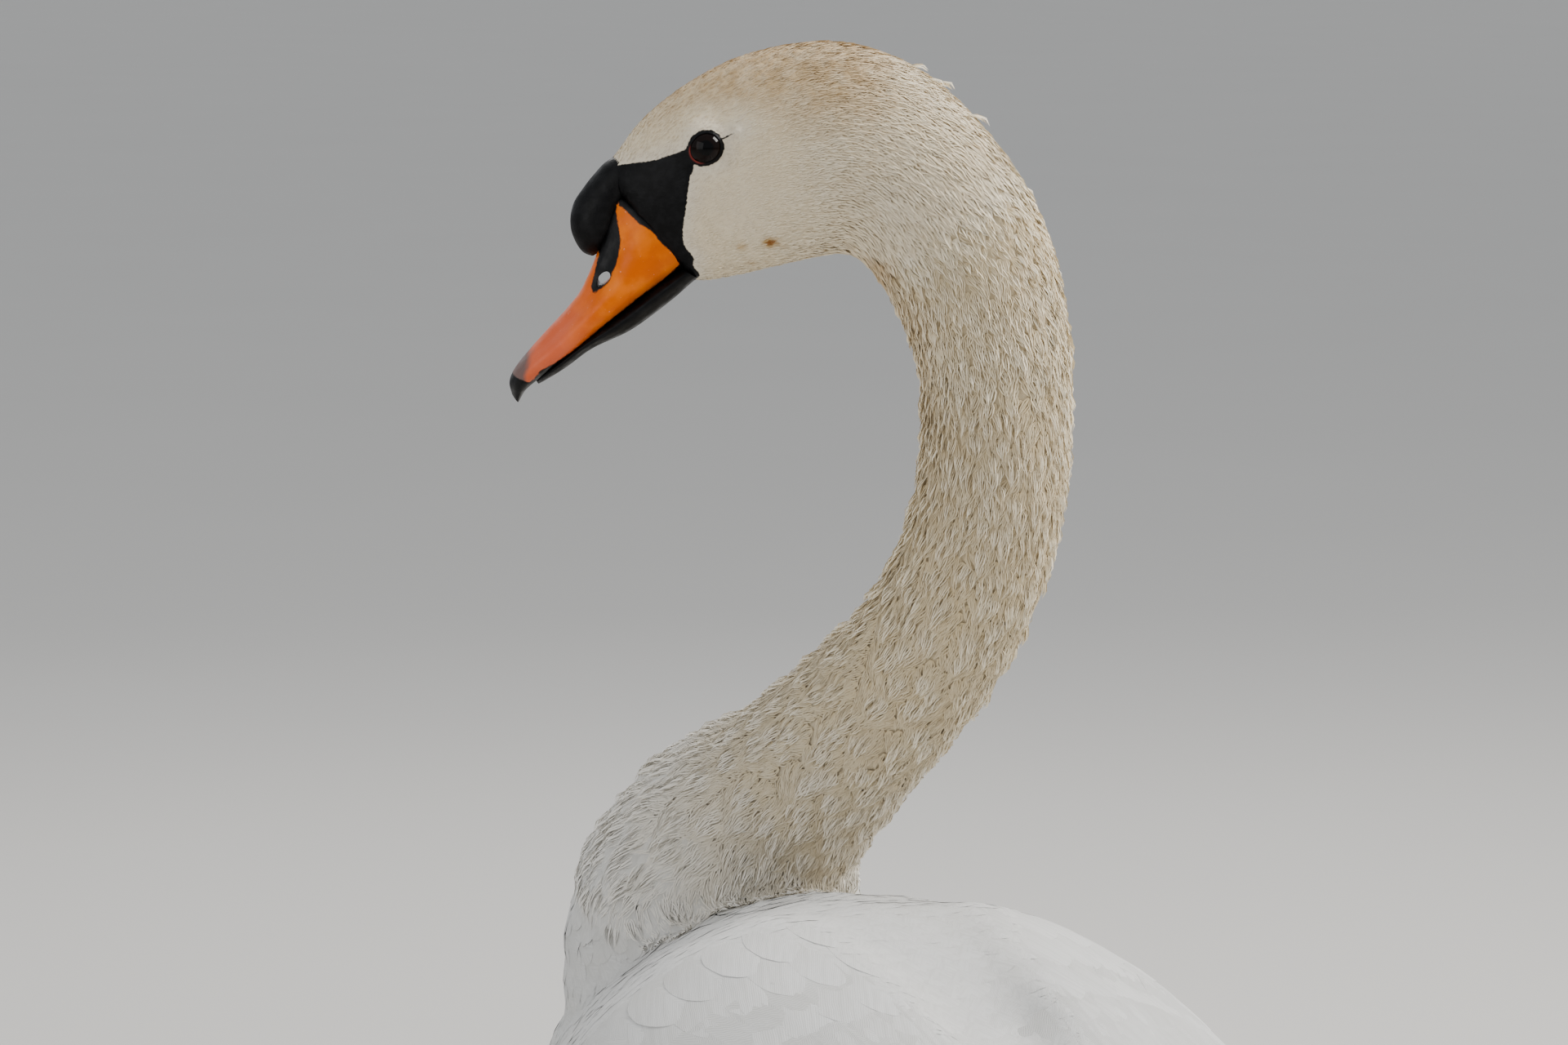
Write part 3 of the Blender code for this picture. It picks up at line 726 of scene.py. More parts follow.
def tuftPlume(name, sizes, seed):
    # a few fine barbs that leave one root and draw together again towards the tip
    rng = np.random.default_rng(seed)
    verts, faces, uvs, rises = [], [], [], []
    for k in range(sizes["blades"]):
        share = (k / (sizes["blades"] - 1) - 0.5) * 2
        length = sizes["length"] * rng.uniform(0.72, 1.0) * (1 - 0.15 * abs(share))
        bow = share * sizes["spread"] * rng.uniform(0.7, 1.3)
        lean = rng.normal(0, 0.25) * sizes["spread"]
        height = sizes["rise"] * rng.uniform(0.55, 1.0)
        tilt = rng.uniform(-0.30, 0.30) * sizes["wide"]
        start = len(verts)
        for step in range(sizes["segments"]):
            t = step / sizes["segments"]
            x = bow * (0.35 + math.sin(math.pi * min(t * 1.15, 1)) * 0.75) + lean * t
            half = sizes["wide"] / 2 * (1 - 0.45 * t)
            lift = -0.0004 + height * math.sin(math.pi * 0.62 * t) * 1.05
            verts += [(x - half, t * length, 0), (x + half, t * length, 0)]
            uvs += [(0.5 + share * 0.4 - 0.06, t), (0.5 + share * 0.4 + 0.06, t)]
            rises += [lift - tilt, lift + tilt]
        verts.append((bow * 0.25 + lean, length, 0))
        uvs.append((0.5 + share * 0.4, 1.0))
        rises.append(height * 0.55)
        for step in range(sizes["segments"] - 1):
            a = start + 2 * step
            faces.append((a, a + 1, a + 3, a + 2))
        a = start + 2 * (sizes["segments"] - 1)
        faces.append((a, a + 1, a + 2))
    return storePlume(name, verts, faces, uvs, rises)


def halfWidth(t, tip, point=2.4):
    # half of a vane's breadth, broadest past its root and drawn in to a rounded or a pointed tip
    end = max((t - (1 - tip)) / tip, 0)
    return (0.40 + 0.60 * math.sin(math.pi / 2 * min(t / 0.5, 1))) * math.sqrt(max(1 - (0.985 * end) ** point, 0)) / 2


def tipped(t, droop=0.45):
    # rise of a vane along its length, bent down again at the tip
    return t - droop * max((t - 0.7) / 0.3, 0) ** 2


def vanePlume(name, sizes, seed):
    # a cupped vane that rises evenly from root to tip, so that each lies over the ones behind it
    rng = np.random.default_rng(seed)
    rows, columns = sizes["rows"], sizes["columns"]
    skew = rng.uniform(-0.06, 0.06)
    verts, faces, uvs, rises = [], [], [], []
    for i in range(rows + 1):
        t = 1 - (1 - i / rows) ** 1.5
        half = sizes["wide"] * halfWidth(t, sizes["tip"])
        for j in range(columns + 1):
            s = 2 * j / columns - 1
            ragged = rng.uniform(-0.012, 0.012) if i > 1 and abs(s) == 1 else 0
            verts.append(((s + ragged) * half + skew * sizes["wide"] * t * t, t * sizes["length"], 0))
            uvs.append((0.5 + s * half / sizes["wide"], t))
            cupped = sizes["cup"] * (s * half / sizes["wide"] * 2) ** 2 * (0.35 + 0.65 * t)
            rises.append(-0.0002 + sizes["lift"] * tipped(t, 0.32) - cupped)
    across = columns + 1
    for i in range(rows):
        for j in range(columns):
            a = i * across + j
            faces.append((a, a + 1, a + across + 1, a + across))
    return storePlume(name, verts, faces, uvs, rises)


def plumeKinds():
    kinds = {}
    for name, sizes in plumeSizes.items():
        kinds[name] = [tuftPlume(f"{name}Tuft{k}", sizes, 11 + k) for k in range(4)]
    for name, sizes in featherSizes.items():
        kinds[name] = [vanePlume(f"{name}Feather{k}", sizes, 31 + k) for k in range(3)]
    made = {}
    for name, objects in kinds.items():
        made[name] = bpy.data.collections.new(name + "Plumes")
        for obj in objects:
            made[name].objects.link(obj)
    return made


def socketOf(sockets, name):
    return next(s for s in sockets if s.enabled and s.name == name)


def geoNode(tree, kind, feeds=None, **settings):
    made = tree.nodes.new(kind)
    for key, value in settings.items():
        setattr(made, key, value)
    for name, value in (feeds or {}).items():
        feed(tree, socketOf(made.inputs, name) if isinstance(name, str) else made.inputs[name], value)
    return made


def named(tree, name, kind="FLOAT"):
    return socketOf(geoNode(tree, "GeometryNodeInputNamedAttribute", {"Name": name}, data_type=kind).outputs,
                    "Attribute")


def vectorMath(tree, operation, first, second=None, scale=None):
    made = tree.nodes.new("ShaderNodeVectorMath")
    made.operation = operation
    tree.links.new(first, made.inputs[0])
    if second is not None:
        tree.links.new(second, made.inputs[1])
    if scale is not None:
        feed(tree, made.inputs["Scale"], scale)
    return made.outputs["Value"] if operation in ("DISTANCE", "LENGTH", "DOT_PRODUCT") else made.outputs[0]


def randomValue(tree, low, high, seed, offset, kind="FLOAT"):
    made = tree.nodes.new("FunctionNodeRandomValue")
    made.data_type = kind
    feed(tree, socketOf(made.inputs, "Min"), low)
    feed(tree, socketOf(made.inputs, "Max"), high)
    shifted = calculate(tree, "ADD", seed, offset)
    tree.links.new(shifted, made.inputs["Seed"])
    return socketOf(made.outputs, "Value")


def aroundOne(tree, spread, seed, offset):
    low, high = (calculate(tree, way, 1.0, spread) for way in ("SUBTRACT", "ADD"))
    return randomValue(tree, low, high, seed, offset)


def densityFor(tree, spacing):
    return calculate(tree, "DIVIDE", 1.35, calculate(tree, "MULTIPLY", spacing, spacing))


def coatTree():
    # scatters roots, or takes them as given, turns a plume to the lie at each and lays it on the skin
    tree = bpy.data.node_groups.new("growCoat", "GeometryNodeTree")
    sockets = [("Geometry", "Geometry", None), ("Scatter", "Bool", True), ("Body", "Object", None),
               ("Plumes", "Collection", None), ("Kinds", "Int", 3), ("Spacing", "Float", 0.003),
               ("Size", "Float", 1.0), ("Size Range", "Float", 0.15), ("Jitter", "Float", 0.15),
               ("Clump Spacing", "Float", 0.011), ("Clump Pull", "Float", 0.0), ("Clump Reach", "Float", 0.010),
               ("Clump Shade", "Float", 0.0), ("Clump Swell", "Float", 0.0), ("Lift Range", "Float", 0.2),
               ("Lift", "Float", 1.0), ("Seed", "Int", 1), ("Finish", "Material", None)]
    for label, kind, value in sockets:
        socket = tree.interface.new_socket(label, in_out="INPUT", socket_type="NodeSocket" + kind)
        if value is not None:
            socket.default_value = value
    tree.interface.new_socket("Geometry", in_out="OUTPUT", socket_type="NodeSocketGeometry")
    given, out = tree.nodes.new("NodeGroupInput").outputs, tree.nodes.new("NodeGroupOutput")
    body = geoNode(tree, "GeometryNodeObjectInfo", {"Object": given["Body"]},
                   transform_space="ORIGINAL").outputs["Geometry"]
    scattered = geoNode(tree, "GeometryNodeDistributePointsOnFaces",
                        {"Mesh": given["Geometry"], "Distance Min": given["Spacing"],
                         "Density Max": densityFor(tree, given["Spacing"]),
                         "Density Factor": named(tree, "cover"), "Seed": given["Seed"]}, distribute_method="POISSON")
    asGiven = geoNode(tree, "GeometryNodeMeshToPoints", {"Mesh": given["Geometry"]})
    chosen = geoNode(tree, "GeometryNodeSwitch", {"Switch": given["Scatter"], "False": asGiven.outputs[0],
                                                  "True": scattered.outputs["Points"]}, input_type="GEOMETRY")
    roots = socketOf(chosen.outputs, "Output")
    clumps = geoNode(tree, "GeometryNodeDistributePointsOnFaces",
                     {"Mesh": body, "Distance Min": given["Clump Spacing"],
                      "Density Max": densityFor(tree, given["Clump Spacing"]), "Seed": 7},
                     distribute_method="POISSON").outputs["Points"]
    place = geoNode(tree, "GeometryNodeInputPosition").outputs[0]
    nearest = geoNode(tree, "GeometryNodeSampleNearest", {"Geometry": clumps, "Sample Position": place},
                      domain="POINT").outputs[0]
    centre = socketOf(geoNode(tree, "GeometryNodeSampleIndex", {"Geometry": clumps, "Value": place, "Index": nearest},
                              data_type="FLOAT_VECTOR", domain="POINT").outputs, "Value")
    lie, stand = named(tree, "lie", "FLOAT_VECTOR"), named(tree, "stand", "FLOAT_VECTOR")
    tip = vectorMath(tree, "ADD", centre, vectorMath(tree, "SCALE", lie, scale=given["Clump Reach"]))
    pull = vectorMath(tree, "NORMALIZE", vectorMath(tree, "SUBTRACT", tip, place))
    turned = vectorMath(tree, "ADD", lie, vectorMath(tree, "SCALE", pull, scale=given["Clump Pull"]))
    spin = randomValue(tree, -1.0, 1.0, given["Seed"], 3)
    spun = geoNode(tree, "ShaderNodeVectorRotate",
                   {"Vector": turned, "Axis": stand, "Angle": calculate(tree, "MULTIPLY", spin, given["Jitter"])},
                   rotation_type="AXIS_ANGLE").outputs[0]
    apart = calculate(tree, "DIVIDE", vectorMath(tree, "DISTANCE", place, centre),
                      calculate(tree, "MULTIPLY", given["Clump Spacing"], 0.60))
    border = calculate(tree, "MINIMUM", calculate(tree, "POWER", apart, 3.0), 1.0)
    # painted shade: each plume's random tone is darkened towards its clump's border, where the gaps between clumps
    # lie in shade
    tone = calculate(tree, "SUBTRACT", randomValue(tree, 0.62, 1.0, given["Seed"], 5),
                     calculate(tree, "MULTIPLY", border, given["Clump Shade"]))
    grow = calculate(tree, "MULTIPLY", calculate(tree, "MULTIPLY", given["Size"], named(tree, "plume")),
                     aroundOne(tree, given["Size Range"], given["Seed"], 9))
    swell = calculate(tree, "SUBTRACT", 1.0,
                      calculate(tree, "MULTIPLY", calculate(tree, "SUBTRACT", border, 0.45), given["Clump Swell"]))
    heave = calculate(tree, "MULTIPLY", calculate(tree, "MULTIPLY", given["Lift"], swell),
                      aroundOne(tree, given["Lift Range"], given["Seed"], 13))
    for label, kind, value in (("root", "FLOAT_VECTOR", place), ("tone", "FLOAT", tone),
                               ("heave", "FLOAT", calculate(tree, "MULTIPLY", heave, grow))):
        roots = geoNode(tree, "GeometryNodeStoreNamedAttribute", {"Geometry": roots, "Name": label, "Value": value},
                        data_type=kind, domain="POINT").outputs[0]
    turn = geoNode(tree, "FunctionNodeAxesToRotation", {0: stand, 1: spun}, primary_axis="Z",
                   secondary_axis="Y").outputs[0]
    kinds = geoNode(tree, "GeometryNodeCollectionInfo",
                    {"Collection": given["Plumes"], "Separate Children": True, "Reset Children": True}).outputs[0]
    which = randomValue(tree, 0, calculate(tree, "SUBTRACT", given["Kinds"], 1), given["Seed"], 17, "INT")
    sizes = geoNode(tree, "ShaderNodeCombineXYZ", {0: grow, 1: grow, 2: grow}).outputs[0]
    planted = geoNode(tree, "GeometryNodeInstanceOnPoints",
                      {"Points": roots, "Instance": kinds, "Pick Instance": True, "Instance Index": which,
                       "Rotation": turn, "Scale": sizes}).outputs[0]
    grown = geoNode(tree, "GeometryNodeRealizeInstances", {"Geometry": planted}).outputs[0]
    onSkin = geoNode(tree, "GeometryNodeProximity", {0: body}, target_element="FACES").outputs["Position"]
    bodyStand = named(tree, "stand", "FLOAT_VECTOR")
    sample = geoNode(tree, "GeometryNodeSampleNearestSurface", {0: body, "Value": bodyStand},
                     data_type="FLOAT_VECTOR")
    away = vectorMath(tree, "NORMALIZE", socketOf(sample.outputs, "Value"))
    height = calculate(tree, "MULTIPLY", named(tree, "rise"), named(tree, "heave"))
    lifted = vectorMath(tree, "ADD", onSkin, vectorMath(tree, "SCALE", away, scale=height))
    laid = geoNode(tree, "GeometryNodeSetPosition", {"Geometry": grown, "Position": lifted}).outputs[0]
    finished = geoNode(tree, "GeometryNodeSetMaterial", {"Geometry": laid, "Material": given["Finish"]}).outputs[0]
    tree.links.new(finished, out.inputs[0])
    return tree


growCoat = coatTree()
plumes = plumeKinds()


def readAttribute(mesh, name):
    held = mesh.attributes[name]
    values = np.empty(len(mesh.vertices) * (3 if held.data_type == "FLOAT_VECTOR" else 1), np.float32)
    held.data.foreach_get("vector" if held.data_type == "FLOAT_VECTOR" else "value", values)
    return values.reshape(-1, 3) if held.data_type == "FLOAT_VECTOR" else values


def hostOf(name, plume, cover):
    # the part of the skin that a coat grows on, with its markings
    keep = cover > 0.001
    corners = [tuple(p.vertices) for p in skinMesh.polygons]
    faces = [face for face in corners if keep[list(face)].any()]
    used = np.unique(np.concatenate([np.array(f) for f in faces]))
    renumber = {int(v): k for k, v in enumerate(used)}
    mesh = bpy.data.meshes.new(name)
    mesh.from_pydata(coordinates(skinMesh)[used].tolist(), [], [[renumber[v] for v in face] for face in faces])
    for label in ("lie", "stand", "cream", "stain"):
        writeAttribute(mesh, label, readAttribute(skinMesh, label)[used])
    writeAttribute(mesh, "plume", plume[used])
    writeAttribute(mesh, "cover", cover[used])
    return newObject(name, mesh)


def unwrapped(points):
    # the skin's own shape laid flat: round the neck's middle line in front, round the body's length behind
    nearest = alongNeck(points)
    onNeckHere = (lineRun[nearest] < lineRun[165]) & (np.linalg.norm(points - line[nearest], axis=1) < 0.075)
    way = lineWay[nearest]
    side = np.cross(way, up)
    side /= np.maximum(np.linalg.norm(side, axis=1), 1e-6)[:, None]
    other = np.cross(side, way)
    off = points - line[nearest]
    aroundNeck = np.arctan2((off * side).sum(1), (off * other).sum(1)) / (2 * np.pi) + 0.5
    neckPlace = np.stack([0.02 + 0.44 * aroundNeck, 0.02 + 0.96 * lineRun[nearest] / lineRun[-1]], 1)
    aroundBody = np.arctan2(points[:, 1], points[:, 2] - 0.30) / (2 * np.pi) + 0.5
    bodyPlace = np.stack([0.54 + 0.44 * aroundBody, 0.02 + 0.96 * np.clip((points[:, 0] + 0.37) / 0.74, 0, 1)], 1)
    return np.where(onNeckHere[:, None], neckPlace, bodyPlace)


def coat(name, host, kind, finish, sizes, scatter=True):
    modifier = host.modifiers.new("growCoat", "NODES")
    modifier.node_group = growCoat
    values = {"Scatter": scatter, "Body": skin, "Plumes": plumes[kind], "Kinds": len(plumes[kind].objects),
              "Finish": finish, **sizes}
    for socket in growCoat.interface.items_tree:
        if socket.in_out == "INPUT" and socket.name in values:
            modifier[socket.identifier] = values[socket.name]
    mesh = evaluated(host, name)
    host.modifiers.clear()
    bpy.data.objects.remove(host)
    mesh.shade_smooth()
    return settle(name, mesh, readAttribute(mesh, "root").astype(float))


def settle(name, mesh, roots):
    # each tuft's patch on the unwrapped skin, then the finished piece
    vane = np.empty(len(mesh.loops) * 2, np.float32)
    mesh.uv_layers["vane"].data.foreach_get("uv", vane)
    baked = unwrapped(roots)[cornerVertices(mesh)] + (vane.reshape(-1, 2) - 0.5) * 0.003
    layer = mesh.uv_layers.new(name="OFBake")
    layer.data.foreach_set("uv", baked.astype(np.float32).ravel())
    for label in ("root", "rise", "heave", "plume", "cover", "lie", "stand"):
        if label in mesh.attributes:
            mesh.attributes.remove(mesh.attributes[label])
    piece = newObject(name, mesh)
    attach(piece, "root")
    triangles = sum(len(p.vertices) - 2 for p in mesh.polygons)
    print(f"{name}: {triangles} triangles")
    return triangles


tuftLook = {"roughness": 0.70, "barbs": 2.0, "slant": 0.5, "shaft": 0.0, "streak": 0.0, "bump": 0.00001}
vaneLook = {"sheen": 0.12, "whiteDepth": 0.85, "white": (0.66, 0.66, 0.65), "rootReach": 1.0, "rootShade": 0.62}
neckPlumage = plumageMaterial("neckPlumage", {
    **tuftLook, "white": (0.80, 0.785, 0.75), "whiteDepth": 0.40, "toneAndShadeTint": (0.56, 0.46, 0.27), "sheen": 0.10,
    "patchiness": 0.32, "toneAndShadeRange": 0.52, "rootReach": 0.7, "rootShade": 0.64})
headPlumage = plumageMaterial("headPlumage", {
    **tuftLook, "white": (0.80, 0.79, 0.76), "whiteDepth": 0.70, "toneAndShadeTint": (0.60, 0.50, 0.36), "sheen": 0.12,
    "patchiness": 0.45, "toneAndShadeRange": 0.34, "rootReach": 0.6, "rootShade": 0.80})
bodyPlumage = plumageMaterial("bodyPlumage", {
    **vaneLook, "toneAndShadeTint": (0.62, 0.60, 0.55), "roughness": 0.66, "patchiness": 0.10, "barbs": 30.0, "slant": 1.3,
    "toneAndShadeRange": 0.34, "shaft": 0.5, "streak": 0.24, "bump": 0.00002})
flightPlumage = plumageMaterial("flightPlumage", {
    **vaneLook, "toneAndShadeTint": (0.60, 0.58, 0.53), "roughness": 0.58, "sheen": 0.10, "patchiness": 0.08, "barbs": 110.0,
    "slant": 0.5, "toneAndShadeRange": 0.30, "shaft": 1.0, "streak": 0.20, "bump": 0.00003})

skinPlace = coordinates(skinMesh).astype(float)
skinRun, skinNeck, skinInk, skinBeside = (readAttribute(skinMesh, label).astype(float)
                                          for label in ("run", "onNeck", "ink", "beside"))
eyeAway = np.minimum(np.linalg.norm(skinPlace - eyeLeft, axis=1), np.linalg.norm(skinPlace - eyeRight, axis=1))
bare = skinInk > -0.0003


def band(low, high, soft=3):
    # cover of a coat between two places on the middle line, thinning out at both ends
    ends = len(lineRun) - 1
    cover = np.ones(len(skinRun)) if low <= soft else smoothStep(lineRun[low - soft], lineRun[low + soft], skinRun)
    if high + soft <= ends:
        cover = cover * smoothStep(lineRun[high + soft], lineRun[high - soft], skinRun)
    return cover * (skinNeck > 0.5)


def growth(low, high, start, more):
    # length of the plumes, changing between two places on the middle line
    return start + more * smoothStep(lineRun[low], lineRun[high], skinRun)


headCoats = {
    # length, cover, kind and finish, then how the plumes grow
    "faceCoat": (growth(12, 45, 0.55, 0.45) * (0.5 + 0.5 * smoothStep(0.008, 0.016, eyeAway)),
                 band(0, 36, 5) * ~bare, "down", headPlumage,
                 {"Spacing": 0.00115, "Size": 1.15, "Jitter": 0.22, "Lift": 0.9, "Seed": 3}),
    "crownCoat": (growth(34, 62, 0.85, 0.3), band(34, 62, 5), "down", headPlumage,
                  {"Spacing": 0.00135, "Size": 1.7, "Jitter": 0.16, "Lift": 1.1, "Clump Spacing": 0.0035,
                   "Clump Reach": 0.008, "Clump Pull": 0.6, "Clump Shade": 0.35, "Clump Swell": 0.5, "Seed": 5}),
    "napeCoat": (growth(62, 84, 0.85, 0.35), band(62, 84, 4), "nape", neckPlumage,
                 {"Spacing": 0.0018, "Size": 1.05, "Jitter": 0.22, "Lift": 1.5, "Clump Spacing": 0.0042,
                  "Clump Reach": 0.008, "Clump Pull": 1.2, "Clump Shade": 0.45, "Clump Swell": 0.9, "Seed": 6}),
}
total = 0
for name, (length, cover, kind, finish, sizes) in headCoats.items():
    total += coat(name, hostOf(name + "Host", length, cover), kind, finish, sizes)

# 1 on the neck, 0 below its foot
tufts = smoothStep(lineRun[180], lineRun[138], skinRun) * smoothStep(0.0, 0.8, skinBeside)
neckBands = (("neckCoatUpper", 84, 106, 0.0048, 0.0090, 1.3, 0.60, 1.0),
             ("neckCoatMiddle", 106, 128, 0.0090, 0.0140, 2.3, 0.75, 1.3),
             ("neckCoatLower", 128, 180, 0.0100, 0.0150, 2.0, 0.70, 1.2))
neckLength = growth(132, 152, 1, 0.25) - growth(154, 178, 0, 0.55)
for k, (name, low, high, clumpSpacing, clumpReach, pull, shade, swell) in enumerate(neckBands):
    total += coat(name, hostOf("neckHost", neckLength, band(low, high) * tufts), "neck", neckPlumage,
                  {"Spacing": 0.0021, "Size": 0.9 + 0.08 * k, "Jitter": 0.22, "Lift": 1.4 - 0.2 * k,
                   "Clump Spacing": clumpSpacing, "Clump Reach": clumpReach, "Clump Pull": pull,
                   "Clump Shade": shade, "Clump Swell": swell, "Seed": 21 + k})
atFoot = (skinNeck > 0.5) * (skinRun > lineRun[90]) * smoothStep(0.98, 0.80, tufts)
total += coat("neckBaseCoat", hostOf("neckBaseHost", growth(148, 175, 0.62, 0.5), atFoot), "soft", bodyPlumage,
              {"Spacing": 0.0037, "Size": 1.05, "Size Range": 0.10, "Jitter": 0.10, "Lift": 0.65, "Lift Range": 0.05,
               "Clump Spacing": 0.018, "Clump Reach": 0.027, "Clump Pull": 0.9, "Clump Shade": 0.30,
               "Clump Swell": 0.25, "Seed": 31})
skinTurn = np.degrees(np.arctan2(np.abs(skinPlace[:, 1]), skinPlace[:, 2] - 0.30))
skinX, skinHeight = skinPlace[:, 0], skinPlace[:, 2]
# the rows of the wing cover these, so no coat grows there: angles from upright, then places along the body
bareZones = {"wingTurn": (52, 101), "wingLength": (-0.185, 0.10), "rearTurn": 15, "rearLength": (0.09, 0.30),
             "rearLow": 0.318}


def between(values, ends):
    return (values > ends[0]) & (values < ends[1])


underWing = between(skinTurn, bareZones["wingTurn"]) & between(skinX, bareZones["wingLength"])
wingRear = (skinTurn > bareZones["rearTurn"]) & between(skinX, bareZones["rearLength"])
wingRear = wingRear & (skinHeight > bareZones["rearLow"])
onBody = ((skinNeck <= 0.80) & ~underWing & ~wingRear).astype(float)
# shorter at the breast, on the thighs, by the neck and in the crease under the wing
bodyLength = (0.72 + 0.35 * smoothStep(-0.25, 0.0, skinX)) * (1 - 0.35 * smoothStep(0.19, 0.13, skinHeight))
bodyLength = bodyLength * (1 - 0.35 * smoothStep(0.01, 0.20, skinNeck))
bodyLength *= 1 - 0.2 * (plateau(skinX, (0.03, 0.07, 0.30, 0.27)) * smoothStep(0.25, 0.28, skinHeight))
onBack = skinHeight > 0.29
for name, keep, seed in (("leftBackCoat", (skinPlace[:, 1] < 0) & onBack, 41),
                         ("rightBackCoat", (skinPlace[:, 1] >= 0) & onBack, 43),
                         ("leftBellyCoat", (skinPlace[:, 1] < 0) & ~onBack, 44),
                         ("rightBellyCoat", (skinPlace[:, 1] >= 0) & ~onBack, 45)):
    total += coat(name, hostOf("bodyHost", bodyLength, onBody * keep), "contour", bodyPlumage,
                  {"Spacing": 0.0054, "Size": 1.0, "Size Range": 0.10, "Jitter": 0.11, "Lift": 0.72,
                   "Lift Range": 0.03, "Seed": seed})

bodyTree = BVHTree.FromPolygons([Vector(p) for p in skinPlace], [tuple(p.vertices) for p in skinMesh.polygons])
# rows of the folded wing, from its wrist to its tip: x and angle from upright of the lowest root, then of the
# highest, how many, length, breadth, lift of the tips, lift of the roots, how far they draw to the wing's tip,
# the tip's share of the length, and how pointed it is
wingRows = {
    "lesserCoverts": [(-0.196 + 0.0150 * r, 107 - 3.5 * (r % 2), -0.204 + 0.0150 * r, 56 + 2.2 * (r % 2), 13, 0.036,
                       0.024, 0.0011, 0.0, 0.2, 0.5, 2.4) for r in range(7)],
    "medianCoverts": [(-0.096, 106, -0.104, 50, 13, 0.050, 0.026, 0.0013, 0.0002, 0.3, 0.45, 2.4),
                      (-0.076, 103, -0.084, 48, 13, 0.054, 0.027, 0.0013, 0.0002, 0.3, 0.45, 2.4)],
    "greaterCoverts": [(-0.054, 105, -0.060, 44, 14, 0.086, 0.031, 0.0015, 0.0003, 0.42, 0.34, 2.4)],
    "secondaries": [(0.004, 103, -0.008, 40, 14, 0.142, 0.034, 0.0016, 0.0003, 0.72, 0.22, 2.4)],
    "primaries": [(0.090, 93, 0.078, 8, 13, 0.205, 0.025, 0.0014, 0.0002, 1.0, 0.50, 1.3)],
    "tertials": [(-0.040, 44, -0.030, 10, 8, 0.200, 0.038, 0.0020, 0.0014, 0.85, 0.30, 2.4)],
    "scapulars": [(-0.104, 52, -0.098, 12, 7, 0.056, 0.032, 0.0010, 0.0004, 0.2, 0.5, 2.4),
                  (-0.080, 48, -0.074, 9, 7, 0.064, 0.034, 0.0011, 0.0006, 0.25, 0.5, 2.4),
                  (-0.054, 51, -0.048, 12, 7, 0.074, 0.036, 0.0012, 0.0008, 0.3, 0.48, 2.4),
                  (-0.024, 47, -0.018, 9, 7, 0.086, 0.038, 0.0012, 0.0011, 0.4, 0.44, 2.4)],
}
laidSizes = {"rows": 12, "columns": 4, "thick": 0.00030, "lean": 0.0006, "order": 0.00015, "droop": 0.62,
             "edge": 0.0004, "bodyRadius": 0.13, "wingEnd": (0.345, 0.010, 0.350), "skinEnd": 0.236}

# closer together towards the tip
laidSteps = [1 - (1 - i / laidSizes["rows"]) ** 1.6 for i in range(laidSizes["rows"] + 1)]


def featherPath(root, normal, target, draw, length):
    # the middle of a feather: along the skin towards the target, then straight on past the skin's end
    points, normals, ways, held = [], [], [], []
    point, way, free = Vector(root), None, False
    for i in range(laidSizes["rows"] + 1):
        if not free:
            wanted = (target - point).normalized() * draw + Vector((1, 0, 0)) * (1 - draw)
            way = (wanted - normal * wanted.dot(normal)).normalized()
        points.append(point)
        normals.append(normal)
        ways.append(way)
        held.append(not free)
        if i < laidSizes["rows"]:
            ahead = point + way * (length * (laidSteps[i + 1] - laidSteps[i]))
            if not free:
                hit, facing, _, away = bodyTree.find_nearest(ahead)
                free = away > 0.012 or ahead.x > laidSizes["skinEnd"]
                if free:  # the tips lie flat, pointing back and a little down
                    way = Vector((1.0, 0.35 * way.y, max(min(way.z, -0.08), -0.20))).normalized()
                    normal = Vector((-way.z, 0.0, way.x)).normalized()
                    ahead = point + way * (length * (laidSteps[i + 1] - laidSteps[i]))
                if not free:
                    ahead, normal = hit, (normal + facing).normalized()
            point = ahead
    return points, normals, ways, held


